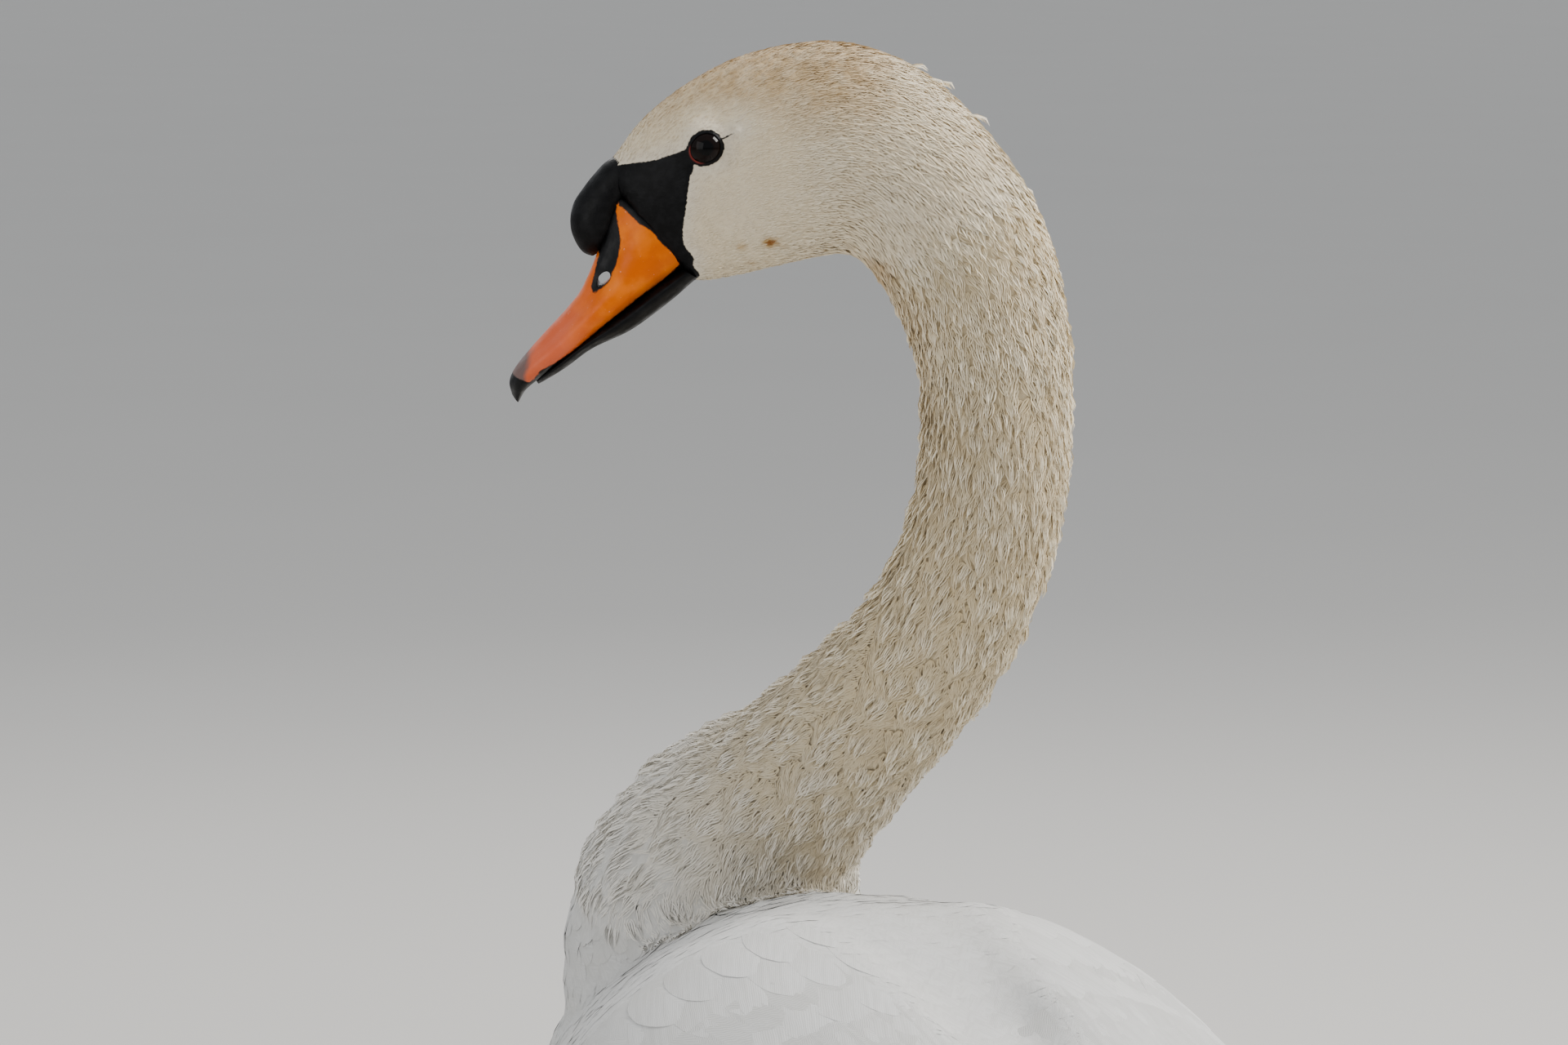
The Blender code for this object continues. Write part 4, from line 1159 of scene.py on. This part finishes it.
class FeatherRow:
    # gathers laid feathers into one mesh
    def __init__(self, name, seed):
        self.name, self.rng = name, np.random.default_rng(seed)
        self.verts, self.faces, self.rims, self.uvs, self.roots, self.tones = [], [], [], [], [], []

    def lay(self, path, outer, wide, lift, base, tip, point, lean=laidSizes["lean"]):
        points, normals, ways, held = path
        rows, columns = laidSizes["rows"], laidSizes["columns"]
        across, start = columns + 1, len(self.verts)
        tone = self.rng.uniform(0.55, 1.0)
        skew = self.rng.uniform(-0.05, 0.05) * wide
        below = []
        for t, place, normal, way, onSkin in zip(laidSteps, points, normals, ways, held):
            side = way.cross(normal).normalized()
            if side.dot(outer) < 0:
                side = -side
            half = wide * halfWidth(t, tip, point)
            for j in range(across):
                s = 2 * j / columns - 1
                part = 2 * s * half / wide  # falls to nothing at the tip, where both edges meet
                rise = base + lift * tipped(t, laidSizes["droop"]) + lean * part * min(t / 0.3, 1)
                rise -= laidSizes["edge"] * part ** 4
                edge = place + side * (s * half * (1 + self.rng.uniform(-0.012, 0.012)) + skew * t * t)
                hit, facing, _, _ = bodyTree.find_nearest(edge)
                if onSkin:
                    edge, stand = hit, (normal + facing).normalized()
                else:
                    rise -= (s * half) ** 2 / (2 * laidSizes["bodyRadius"])
                    stand = normal
                self.verts.append(tuple(edge + stand * rise))
                below.append(tuple(edge + stand * (rise - laidSizes["thick"])))
                self.uvs.append((0.5 + part / 2, t))
        self.verts += below
        self.uvs += self.uvs[start:start + len(below)]
        self.roots += [tuple(points[0])] * (2 * len(below))
        self.tones += [tone] * (2 * len(below))
        turned = ways[0].cross(normals[0]).dot(outer) < 0
        top, count = [], len(below)
        for i in range(rows):
            for j in range(columns):
                a = start + i * across + j
                top.append((a, a + 1, a + across + 1, a + across))
        bottom = [tuple(reversed([v + count for v in face])) for face in top]
        edge = [j for j in range(across)] + [i * across + columns for i in range(1, rows + 1)]
        edge += [rows * across + j for j in range(columns - 1, -1, -1)] + [i * across for i in range(rows - 1, 0, -1)]
        rim = [(start + b, start + a, start + a + count, start + b + count) for a,
               b in zip(edge, edge[1:] + edge[:1])]
        for group, isRim in ((top + bottom, False), (rim, True)):
            for face in group:
                self.faces.append(tuple(reversed(face)) if turned else face)
                self.rims.append(isRim)

    def finish(self, finish, slot):
        mesh = bpy.data.meshes.new(self.name)
        mesh.from_pydata(self.verts, [], self.faces)
        layer = mesh.uv_layers.new(name="vane")
        layer.data.foreach_set("uv", np.array(self.uvs, np.float32)[cornerVertices(mesh)].ravel())
        built = bmesh.new()
        built.from_mesh(mesh)
        built.faces.ensure_lookup_table()
        for face, isRim in zip(built.faces, self.rims):
            face.smooth = True
            if isRim:
                for edge in face.edges:
                    edge.smooth = False
        built.to_mesh(mesh)
        built.free()
        for label, value in (("cream", 0.03), ("stain", 0.0)):
            writeAttribute(mesh, label, np.full(len(mesh.vertices), value))
        writeAttribute(mesh, "tone", np.array(self.tones))
        mesh.materials.append(finish)
        return settle(self.name, mesh, np.array(self.roots))


napeTips = [(0.0345, 0.001, 0.7738), (0.0238, -0.003, 0.7675), (0.0094, 0.002, 0.7562), (0.0275, 0.006, 0.7698)]


def napeHost():
    found, stands, lies = [], [], []
    for g, out, h in napeTips:
        hit, normal, _, _ = bodyTree.find_nearest(Vector(fromHead(np.array(g), np.array(out), np.array(h))))
        way = Vector(lineWay[alongNeck(np.array([tuple(hit)]))[0]])
        found.append(hit)
        stands.append(tuple(normal))
        lies.append(tuple((way - normal * way.dot(normal)).normalized()))
    mesh = bpy.data.meshes.new("napeTips")
    mesh.from_pydata(found, [], [])
    writeAttribute(mesh, "stand", np.array(stands))
    writeAttribute(mesh, "lie", np.array(lies))
    for label, value in (("plume", 1.0), ("cream", 0.9), ("stain", 0.0), ("cover", 1.0)):
        writeAttribute(mesh, label, np.full(len(found), value))
    return newObject("napeTips", mesh)


total += coat("napeTips", napeHost(), "neck", neckPlumage,
              {"Size": 1.05, "Size Range": 0.3, "Jitter": 0.3, "Lift": 2.8, "Lift Range": 0.35, "Seed": 71},
              scatter=False)
for sideName, side in (("Left", -1), ("Right", 1)):
    wingEnd = Vector(laidSizes["wingEnd"]) * Vector((1, side, 1))
    for name, rowsOfKind in wingRows.items():
        row = FeatherRow(name + sideName, 51)
        for lowX, lowTurn, highX, highTurn, count, length, wide, lift, base, draw, tip, point in rowsOfKind:
            for k in range(count):
                t = k / (count - 1)
                turn = math.radians(lowTurn + (highTurn - lowTurn) * t)
                outward = Vector((0, side * math.sin(turn), math.cos(turn)))
                middle = Vector((lowX + (highX - lowX) * t, 0, 0.30))
                hit, normal, _, _ = bodyTree.ray_cast(middle + outward * 0.175, -outward)
                reach = length * row.rng.uniform(0.97, 1.03) * (1 - 0.12 * t if name == "primaries" else 1)
                # those on the back sink in towards its middle, the others lie over each other in turn
                overBack = name in ("scapulars", "tertials")
                inner = max(1 - math.degrees(turn) / 40, 0) if overBack else 0
                order = 0 if overBack else laidSizes["order"] * k * (0.25 if "Coverts" in name else 0.5)
                height = base * (1 - inner) - 0.0006 * inner + order
                goal = wingEnd + Vector((0, 0, 0.05 * (1 - t) if name in ("secondaries", "primaries") else 0))
                path = featherPath(hit, normal, goal, draw, reach)
                row.lay(path, Vector((0, side, -0.8)), wide, lift * (1 - 0.5 * inner), height, tip, point,
                        laidSizes["lean"] * (1 + 0.3 * inner))
        total += row.finish(flightPlumage if name in ("primaries", "secondaries", "tertials") else bodyPlumage,
                            "white_plumage")
tailSizes = {"feathers": 13, "rootX": 0.200, "rootOut": 0.038, "length": 0.164, "wide": 0.034, "lift": 0.0014,
             "fan": 0.20, "slope": -0.135}
tail = FeatherRow("tailFeathers", 61)
for k in range(tailSizes["feathers"]):
    out = 2 * k / (tailSizes["feathers"] - 1) - 1
    reach = tailSizes["length"] * (1 - 0.20 * abs(out) ** 1.6)
    crown = 0.3165 + 0.0170 * math.sqrt(1 - 0.6 * out * out)
    root = Vector((tailSizes["rootX"] + 0.010 * abs(out), tailSizes["rootOut"] * out, crown))
    way = Vector((1.0, tailSizes["fan"] * out, tailSizes["slope"] * (1 - 0.4 * abs(out)))).normalized()
    stand = Vector((-way.z, 0.25 * out, 1.0)).normalized()
    stand = (stand - way * stand.dot(way)).normalized()
    steps = len(laidSteps)
    path = [root + way * (reach * t) for t in laidSteps], [stand] * steps, [way] * steps, [False] * steps
    outer = Vector((0, 1 if out >= 0 else -1, 0))
    tail.lay(path, outer, tailSizes["wide"], tailSizes["lift"], 0.0002 + 0.0018 * (1 - abs(out)), 0.34, 2.2)
total += tail.finish(flightPlumage, "white_plumage")
print("coats:", total, "triangles")


eyeSizes = {"iris": 0.0058, "cornea": 0.0006}  # how far out the clear front reaches, and how far it stands out


def buildEye(name, centre, side):
    built = bmesh.new()
    bmesh.ops.create_uvsphere(built, u_segments=48, v_segments=32, radius=eyeRadius)
    axis = headLeft * side
    for v in built.verts:
        off = math.sqrt(max(v.co.length_squared - v.co.dot(Vector(axis)) ** 2, 0))
        if v.co.dot(Vector(axis)) > 0 and off < eyeSizes["iris"]:
            v.co += Vector(axis) * eyeSizes["cornea"] * math.cos(off / eyeSizes["iris"] * math.pi / 2)
        v.co += Vector(centre)
    mesh = meshOf(built, name)
    off = coordinates(mesh) - centre
    flat = np.linalg.norm(off - np.outer(off @ axis, axis), axis=1)
    writeAttribute(mesh, "ring", np.where(off @ axis > 0, flat, 0.009))
    mesh.shade_smooth()
    return newObject(name, mesh)


def eyeMaterial():
    made, tree, shader = newMaterial("darkEye", 0.07, Coat_Weight=0.08, Coat_Roughness=0.03, Specular_IOR_Level=0.20)
    ring = attributeNode(tree, "ring").outputs["Fac"]
    fibres = noise(tree, 900.0, 4.0)
    brown = blendColour(tree, fibres, (0.004, 0.002, 0.0015), (0.014, 0.006, 0.004))
    inside = blendColour(tree, ramped(tree, ring, 0.0028, 0.0032), (0.0015, 0.0015, 0.0018), brown)
    tree.links.new(blendColour(tree, ramped(tree, ring, 0.0054, 0.0062), inside, (0.006, 0.005, 0.005)),
                   shader.inputs["Base Color"])
    return made


darkEye = eyeMaterial()
for name, centre, side in (("eyeballLeft", eyeLeft, 1.0), ("eyeballRight", eyeRight, -1.0)):
    eyeball = buildEye(name, centre, side)
    eyeball.data.materials.append(darkEye)
    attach(eyeball, "root")
    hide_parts("eye_left" if side > 0 else "eye_right")
print("eyes made")


billSizes = {
    # low edge forward and height, high edge forward and height, half width
    "upper": [(0.1185, 0.6945, 0.1490, 0.7225, 0.0150), (0.1215, 0.6925, 0.1530, 0.7200, 0.0160),
              (0.1320, 0.6861, 0.1576, 0.7010, 0.0163), (0.1442, 0.6772, 0.1640, 0.6852, 0.0160),
              (0.1563, 0.6675, 0.1705, 0.6762, 0.0158), (0.1660, 0.6594, 0.1783, 0.6678, 0.0160),
              (0.1750, 0.6530, 0.1860, 0.6592, 0.0155), (0.1820, 0.6480, 0.1914, 0.6523, 0.0130),
              (0.1868, 0.6440, 0.1934, 0.6472, 0.0090), (0.1900, 0.6388, 0.1926, 0.6425, 0.0030)],
    "lower": [(0.1185, 0.6885, 0.1250, 0.6932, 0.0120), (0.1215, 0.6862, 0.1275, 0.6915, 0.0130),
              (0.1308, 0.6782, 0.1370, 0.6850, 0.0137), (0.1453, 0.6677, 0.1515, 0.6740, 0.0137),
              (0.1599, 0.6608, 0.1650, 0.6640, 0.0134), (0.1712, 0.6527, 0.1745, 0.6565, 0.0120),
              (0.1790, 0.6478, 0.1808, 0.6515, 0.0080), (0.1818, 0.6462, 0.1828, 0.6480, 0.0030)],
    "around": 56, "steps": 7, "upperPower": 2.3, "lowerPower": 2.2,
    "nostril": (0.1556, 0.6885), "nostrilHalfLong": 0.0036, "nostrilHalfTall": 0.0021, "nostrilSlope": -52,
    "bedDepth": 0.0011, "bedRadius": 0.0052, "nail": (0.1912, 0.6400), "nailEdge": (0.0075, 0.0100),
    "nailHalfWide": 0.0075,
    # knob from its low end up under the forehead: forward, height, half depth, half width
    "knob": [(0.1602, 0.6970, 0.0004, 0.0004), (0.1604, 0.6992, 0.0045, 0.0045), (0.1600, 0.7035, 0.0079, 0.0077),
             (0.1592, 0.7085, 0.0100, 0.0096), (0.1577, 0.7140, 0.0106, 0.0102), (0.1553, 0.7192, 0.0096, 0.0105),
             (0.1522, 0.7240, 0.0089, 0.0108), (0.1486, 0.7282, 0.0084, 0.0112), (0.1440, 0.7310, 0.0070, 0.0112),
             (0.1395, 0.7330, 0.0050, 0.0100)],
}

# the orange area of the upper bill's side
orangeArea = [
    (0.1501, 0.7190), (0.1480, 0.7165), (0.1459, 0.7149), (0.1411, 0.7105), (0.1363, 0.7077), (0.1335, 0.7042),
    (0.1307, 0.7012), (0.1275, 0.6988), (0.1259, 0.6962), (0.1259, 0.6941), (0.1331, 0.6877), (0.1412, 0.6820),
    (0.1493, 0.6756), (0.1574, 0.6691), (0.1655, 0.6622), (0.1736, 0.6565), (0.1805, 0.6529), (0.1826, 0.6498),
    (0.1850, 0.6478), (0.1905, 0.6500), (0.2000, 0.6560), (0.1750, 0.7000), (0.1600, 0.7040), (0.1574, 0.6985),
    (0.1590, 0.6920), (0.1607, 0.6855), (0.1597, 0.6826), (0.1577, 0.6843), (0.1537, 0.6875), (0.1504, 0.6948),
    (0.1486, 0.7036), (0.1493, 0.7077), (0.1505, 0.7140),
]


def loftRings(name, rings):
    # rings of points skinned in turn, with a middle point on each end
    built = bmesh.new()
    made = [[built.verts.new(p) for p in ring] for ring in rings]
    stitch(built, made)
    for ring, flip in ((made[0], True), (made[-1], False)):
        middle = built.verts.new(sum((v.co for v in ring), Vector()) / len(ring))
        for a, b in zip(ring, ring[1:] + ring[:1]):
            built.faces.new((b, a, middle) if flip else (a, b, middle))
    bmesh.ops.recalc_face_normals(built, faces=built.faces)
    return meshOf(built, name)


def billLoft(name, stations, power, shape):
    rings = []
    for lowG, lowH, highG, highH, halfWide in smoothLine(stations, billSizes["steps"]):
        angle = np.linspace(0, 2 * np.pi, billSizes["around"], endpoint=False)
        c, s = np.cos(angle), np.sin(angle)
        across = np.sign(c) * np.abs(c) ** (2 / power) * halfWide
        above = np.sign(s) * np.abs(s) ** (2 / power)
        across = across * shape(above, highG)
        g = (lowG + highG) / 2 + above * (highG - lowG) / 2
        h = (lowH + highH) / 2 + above * (highH - lowH) / 2
        rings.append(fromHead(g, across, h))
    return loftRings(name, rings)


def dryBump(tree, scale, stretch=None):
    return calculate(tree, "ADD", noise(tree, scale, 4.0, stretch=stretch),
                     calculate(tree, "MULTIPLY", noise(tree, scale * 4, 3.0), 0.4))


def billMaterial():
    made, tree, shader = newMaterial("orangeBill", 0.38, Specular_IOR_Level=0.35)
    reach = attributeNode(tree, "reach").outputs["Fac"]
    patch = noise(tree, 90.0, 4.0)
    warm = blendColour(tree, ramped(tree, patch, 0.35, 0.68), (0.74, 0.155, 0.010), (0.90, 0.235, 0.022))
    front = blendColour(tree, patch, (0.66, 0.13, 0.050), (0.82, 0.22, 0.11))
    along = calculate(tree, "ADD", reach, wavering(tree, 0.012, 60.0))
    orange = blendColour(tree, ramped(tree, along, 0.152, 0.176), warm, front)
    specks = ramped(tree, noise(tree, 700.0, 2.0), 0.70, 0.80)
    orange = blendColour(tree, calculate(tree, "MULTIPLY", specks, 0.45), orange, (0.85, 0.62, 0.50))
    orange = blendColour(tree, ramped(tree, along, 0.1835, 0.1868), orange, (0.20, 0.13, 0.115))
    paint = attributeNode(tree, "orange").outputs["Fac"]
    ragged = calculate(tree, "ADD", paint, wavering(tree, 0.0012, 500.0, 3.0))
    nail = attributeNode(tree, "nail").outputs["Fac"]
    isOrange = calculate(tree, "MULTIPLY", ramped(tree, ragged, -0.00035, 0.00035),
                         ramped(tree, nail, 0.0, 1.0, 1.0, 0.0))
    black = blendColour(tree, ramped(tree, noise(tree, 260.0, 4.0), 0.35, 0.75), (0.003, 0.003, 0.0035),
                        (0.009, 0.009, 0.010))
    tree.links.new(blendColour(tree, isOrange, black, orange), shader.inputs["Base Color"])
    tree.links.new(ramped(tree, noise(tree, 200.0, 4.0), 0.3, 0.7, 0.30, 0.52), shader.inputs["Roughness"])
    bump(tree, shader, dryBump(tree, 320.0, (1.0, 1.0, 1.4)), 0.00022, 0.7)
    return made


def blackMaterial(name, grain, distance):
    made, tree, shader = newMaterial(name, 0.42, Specular_IOR_Level=0.25)
    tint = ramped(tree, noise(tree, 260.0, 4.0), 0.35, 0.75)
    tree.links.new(blendColour(tree, tint, (0.003, 0.003, 0.0035), (0.010, 0.010, 0.011)),
                   shader.inputs["Base Color"])
    tree.links.new(ramped(tree, noise(tree, 200.0, 4.0), 0.3, 0.7, 0.34, 0.55), shader.inputs["Roughness"])
    bump(tree, shader, dryBump(tree, grain), distance, 0.7)
    return made


def buildUpperBill():
    def flank(above, forward):
        # hollow sides under a narrow ridge, behind the broad tip
        hollow = smoothStep(0.150, 0.160, forward) * (1 - smoothStep(0.176, 0.188, forward))
        return 1 - (0.10 + 0.16 * hollow) * np.exp(-((above - 0.62) / 0.34) ** 2)
    mesh = billLoft("billUpper", billSizes["upper"], billSizes["upperPower"], flank)
    obj = newObject("billUpper", mesh)
    # the nostrils open into each other, right through the bill
    hole = bmesh.new()
    count, (g, h) = 28, billSizes["nostril"]
    slope = math.radians(billSizes["nostrilSlope"])
    rings = []
    for out in (-0.03, 0.03):
        ring = []
        for k in range(count):
            a = 2 * math.pi * k / count
            x, y = billSizes["nostrilHalfLong"] * math.cos(a), billSizes["nostrilHalfTall"] * math.sin(a)
            forward = g + x * math.cos(slope) - y * math.sin(slope)
            height = h + x * math.sin(slope) + y * math.cos(slope)
            ring.append(hole.verts.new(fromHead(forward, out, height)))
        rings.append(ring)
    for k in range(count):
        hole.faces.new((rings[0][k], rings[0][k - 1], rings[1][k - 1], rings[1][k]))
    hole.faces.new(rings[0])
    hole.faces.new(reversed(rings[1]))
    bmesh.ops.recalc_face_normals(hole, faces=hole.faces)
    cutter = newObject("nostrilHole", meshOf(hole, "nostrilHole"))
    opened = obj.modifiers.new("nostrils", "BOOLEAN")
    opened.operation, opened.object, opened.solver = "DIFFERENCE", cutter, "EXACT"
    softened = obj.modifiers.new("softened", "BEVEL")
    softened.width, softened.segments = 0.0005, 2
    softened.limit_method, softened.angle_limit = "ANGLE", math.radians(50)
    mesh = evaluated(obj, "billUpper")
    bpy.data.objects.remove(obj)
    bpy.data.objects.remove(cutter)
    co = coordinates(mesh)
    place = inHead(co)
    # a sunk bed round each nostril and the overhanging nail
    away = np.hypot(place[:, 0] - g, place[:, 2] - h)
    bed = billSizes["bedDepth"] * np.exp(-(away / billSizes["bedRadius"]) ** 2)
    place[:, 1] -= np.sign(place[:, 1]) * bed * (np.abs(place[:, 1]) > 0.004)
    moveTo(mesh, fromHead(place[:, 0], place[:, 1], place[:, 2]))
    writeAttribute(mesh, "orange", shapeDistance(orangeArea, place[:, [0, 2]]))
    writeAttribute(mesh, "reach", place[:, 0])
    nailForward, nailHeight = billSizes["nail"]
    nailDistance = np.hypot(place[:, 0] - nailForward, (place[:, 2] - nailHeight) / 1.15)
    nailWide = np.abs(place[:, 1]) / billSizes["nailHalfWide"]
    writeAttribute(mesh, "nail", 1 - smoothStep(*billSizes["nailEdge"], nailDistance + 0.003 * nailWide ** 2))
    mesh.shade_smooth()
    return newObject("billUpper", mesh)


def buildKnob():
    stations = smoothLine(billSizes["knob"], 6)
    way = np.gradient(stations[:, :2], axis=0)
    way /= np.linalg.norm(way, axis=1)[:, None]
    around = np.linspace(0, 2 * np.pi, 48, endpoint=False)
    rings = []
    for (g, h, deep, wide), (wayG, wayH) in zip(stations, way):
        depth = np.sin(around) * max(deep, 0.0003)
        rings.append(fromHead(g + wayH * depth, np.cos(around) * max(wide, 0.0003), h - wayG * depth))
    mesh = loftRings("knob", rings)
    mesh.shade_smooth()
    return newObject("knob", mesh)


billUpper = buildUpperBill()
billUpper.data.materials.clear()
billUpper.data.materials.append(billMaterial())
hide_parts("bill_upper")
billLowerMesh = billLoft("billLower", billSizes["lower"], billSizes["lowerPower"], lambda above,
                         forward: 1 - 0.12 * np.exp(-((above + 0.5) / 0.4) ** 2))
billLowerMesh.shade_smooth()
billLower = newObject("billLower", billLowerMesh)
billLowerMesh.materials.append(blackMaterial("blackBill", 320.0, 0.0002))
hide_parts("bill_lower")
knob = buildKnob()
knob.data.materials.append(blackMaterial("knobBlack", 240.0, 0.00028))
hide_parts("knob")
for piece in (billUpper, billLower, knob):
    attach(piece, "root")
print("bill, nostrils and knob made")


legSizes = {"voxel": 0.0017, "smoothing": 7, "scale": 0.0032, "kneeHeight": 0.11, "intoThigh": 0.006}


def buildLegs():
    def onFloor(name, v):
        inThigh = "shank" in name and v.co.z > legSizes["kneeHeight"]
        v.co.z = max(v.co.z, 0.0) + (legSizes["intoThigh"] if inThigh else 0)
    mesh = remeshed(gathered(("shank_left", "shank_right", "foot_left", "foot_right"), onFloor), "legs", legSizes)
    co = coordinates(mesh)
    co[:, 2] = np.maximum(co[:, 2], 0.0)
    moveTo(mesh, co)
    return mesh


def legMaterial():
    made, tree, shader = newMaterial("scalyLegs", 0.5, Specular_IOR_Level=0.4)
    place = node(tree, "ShaderNodeTexCoord").outputs["Object"]
    cells = node(tree, "ShaderNodeTexVoronoi", {"Scale": 1 / legSizes["scale"]}, feature="DISTANCE_TO_EDGE")
    tree.links.new(place, cells.inputs["Vector"])
    plate = ramped(tree, cells.outputs["Distance"], 0.0, 0.16)
    tint = calculate(tree, "MULTIPLY", plate, ramped(tree, noise(tree, 120.0, 4.0), 0.3, 0.7, 0.4, 1.0))
    tree.links.new(blendColour(tree, tint, (0.010, 0.010, 0.010), (0.035, 0.034, 0.033)), shader.inputs["Base Color"])
    tree.links.new(ramped(tree, noise(tree, 220.0, 3.0), 0.3, 0.7, 0.42, 0.65), shader.inputs["Roughness"])
    bump(tree, shader, calculate(tree, "ADD", plate, calculate(tree, "MULTIPLY", noise(tree, 900.0, 3.0), 0.25)),
         0.0005, 0.8)
    return made


def joinLegs():
    legs = buildLegs()
    sunk = skinSizes["underCoat"] * np.where(bare, 0.0, smoothStep(lineRun[20], lineRun[60], skinRun) + 0.25)
    body, shift = coordinates(skinMesh) - normalsOf(skinMesh) * sunk[:, None], len(skinMesh.vertices)
    faces = [tuple(p.vertices) for p in skinMesh.polygons]
    legFaces = [tuple(v + shift for v in p.vertices) for p in legs.polygons]
    mesh = bpy.data.meshes.new("skinAndLegs")
    mesh.from_pydata(np.concatenate([body, coordinates(legs)]).tolist(), [], faces + legFaces)
    for label in ("ink", "cream", "stain", "lid", "undersideAndShade"):
        writeAttribute(mesh, label, np.concatenate([readAttribute(skinMesh, label), np.zeros(len(legs.vertices))]))
    mesh.materials.append(skinMesh.materials[0])
    mesh.materials.append(legMaterial())
    mesh.polygons.foreach_set("material_index", np.array([0] * len(faces) + [1] * len(legFaces), np.int32))
    mesh.shade_smooth()
    skin.data = mesh
    print("skin with legs:", len(mesh.polygons), "faces")


joinLegs()
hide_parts("shank_left", "shank_right", "foot_left", "foot_right")


clawSizes = {
    "heel": (-0.0575, 0.078),  # middle of the heel pad, to the right of the middle plane
    "toes": ((-30, 0.104), (2, 0.140), (31, 0.128)),
    "length": 0.0105, "thick": 0.0025, "hindToe": 0.026, "hindHeight": 0.0075,
}


def buildClaws():
    built = bmesh.new()
    for side in (-1, 1):
        heel = Vector((clawSizes["heel"][0], side * clawSizes["heel"][1], 0))
        for at, length in (*clawSizes["toes"], (180, clawSizes["hindToe"])):
            angle = math.radians(at)
            heading = Vector((-math.cos(angle), side * math.sin(angle), 0))
            across = Vector((-heading.y, heading.x, 0))
            hind = at == 180
            base = clawSizes["hindHeight"] if hind else 0.0034
            reach = 0.55 if hind else 1.0
            rings = []
            for k in range(9):
                t = k / 8
                size = clawSizes["thick"] * (1 - t) ** 0.6 * (0.7 if hind else 1) + 0.0002
                middle = heel + heading * (length - 0.003 + clawSizes["length"] * reach * t)
                middle.z = max(base - (base - 0.0006) * t ** 1.8, size * 0.92 + 0.0001)
                rings.append([built.verts.new(middle + across * size * 0.75 * math.cos(a) + Vector((0, 0,
                    size * math.sin(a))))
                              for a in (2 * math.pi * j / 14 for j in range(14))])
            capped(built, rings)
    bmesh.ops.recalc_face_normals(built, faces=built.faces)
    mesh = meshOf(built, "claws")
    mesh.shade_smooth()
    return newObject("claws", mesh)


claws = buildClaws()
claws.data.materials.append(blackMaterial("clawHorn", 600.0, 0.0001))
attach(claws, "root")
print("claws made")


studio = {"floorColour": (0.60, 0.585, 0.56), "floorSize": 90.0, "world": 0.52, "keyPower": 78.0, "fillPower": 15.0,
          "rimPower": 16.0}


def buildStudio():
    floorMesh = bpy.data.meshes.new("floor")
    half = studio["floorSize"] / 2
    floorMesh.from_pydata([(-half, -half, 0), (half, -half, 0), (half, half, 0), (-half, half, 0)], [],
                          [(0, 1, 2, 3)])
    floor = newObject("floor", floorMesh)
    made, tree, shader = newMaterial("paleFloor", 0.85)
    tree.links.new(blendColour(tree, noise(tree, 2.0, 4.0), tuple(0.97 * c for c in studio["floorColour"]),
                               studio["floorColour"]), shader.inputs["Base Color"])
    floorMesh.materials.append(made)
    world = bpy.data.worlds.new("studio")
    bpy.context.scene.world = world
    world.use_nodes = True
    background = world.node_tree.nodes["Background"]
    background.inputs["Color"].default_value = (0.93, 0.96, 1.0, 1)
    background.inputs["Strength"].default_value = studio["world"]
    target = Vector((0.0, 0.0, 0.5))
    for name, place, power, size, colour in (
        ("key", (0.7, 1.9, 2.5), studio["keyPower"], 1.3, (1.0, 0.975, 0.94)),
        ("fill", (1.0, -2.4, 1.2), studio["fillPower"], 2.2, (1.0, 0.985, 0.96)),
        ("rim", (-2.0, 0.6, 2.0), studio["rimPower"], 1.6, (1.0, 0.98, 0.95)),
    ):
        light = bpy.data.lights.new(name, "AREA")
        light.energy, light.size, light.color = power, size, colour
        lamp = bpy.data.objects.new(name, light)
        lamp.location = place
        lamp.rotation_euler = (target - Vector(place)).to_track_quat("-Z", "Y").to_euler()
        bpy.context.scene.collection.objects.link(lamp)


def buildCamera():
    sight = {"azimuth": 70.0, "downward": 8.2, "lens": 105.0, "place": (1.5529, -0.6383, 0.85)}
    turn, down = math.radians(sight["azimuth"]), math.radians(sight["downward"])
    ahead = Vector((-math.sin(turn) * math.cos(down), math.cos(turn) * math.cos(down), -math.sin(down)))
    data = bpy.data.cameras.new("camera")
    data.lens, data.sensor_width, data.clip_end = sight["lens"], 36.0, 200.0
    camera = bpy.data.objects.new("camera", data)
    camera.location = sight["place"]
    camera.rotation_euler = ahead.to_track_quat("-Z", "Y").to_euler()
    bpy.context.scene.collection.objects.link(camera)
    bpy.context.scene.camera = camera


buildStudio()
buildCamera()
view = bpy.context.scene.view_settings
view.view_transform = "AgX"
view.look = "AgX - Medium High Contrast"
view.exposure = 0.15
print("studio and camera set")
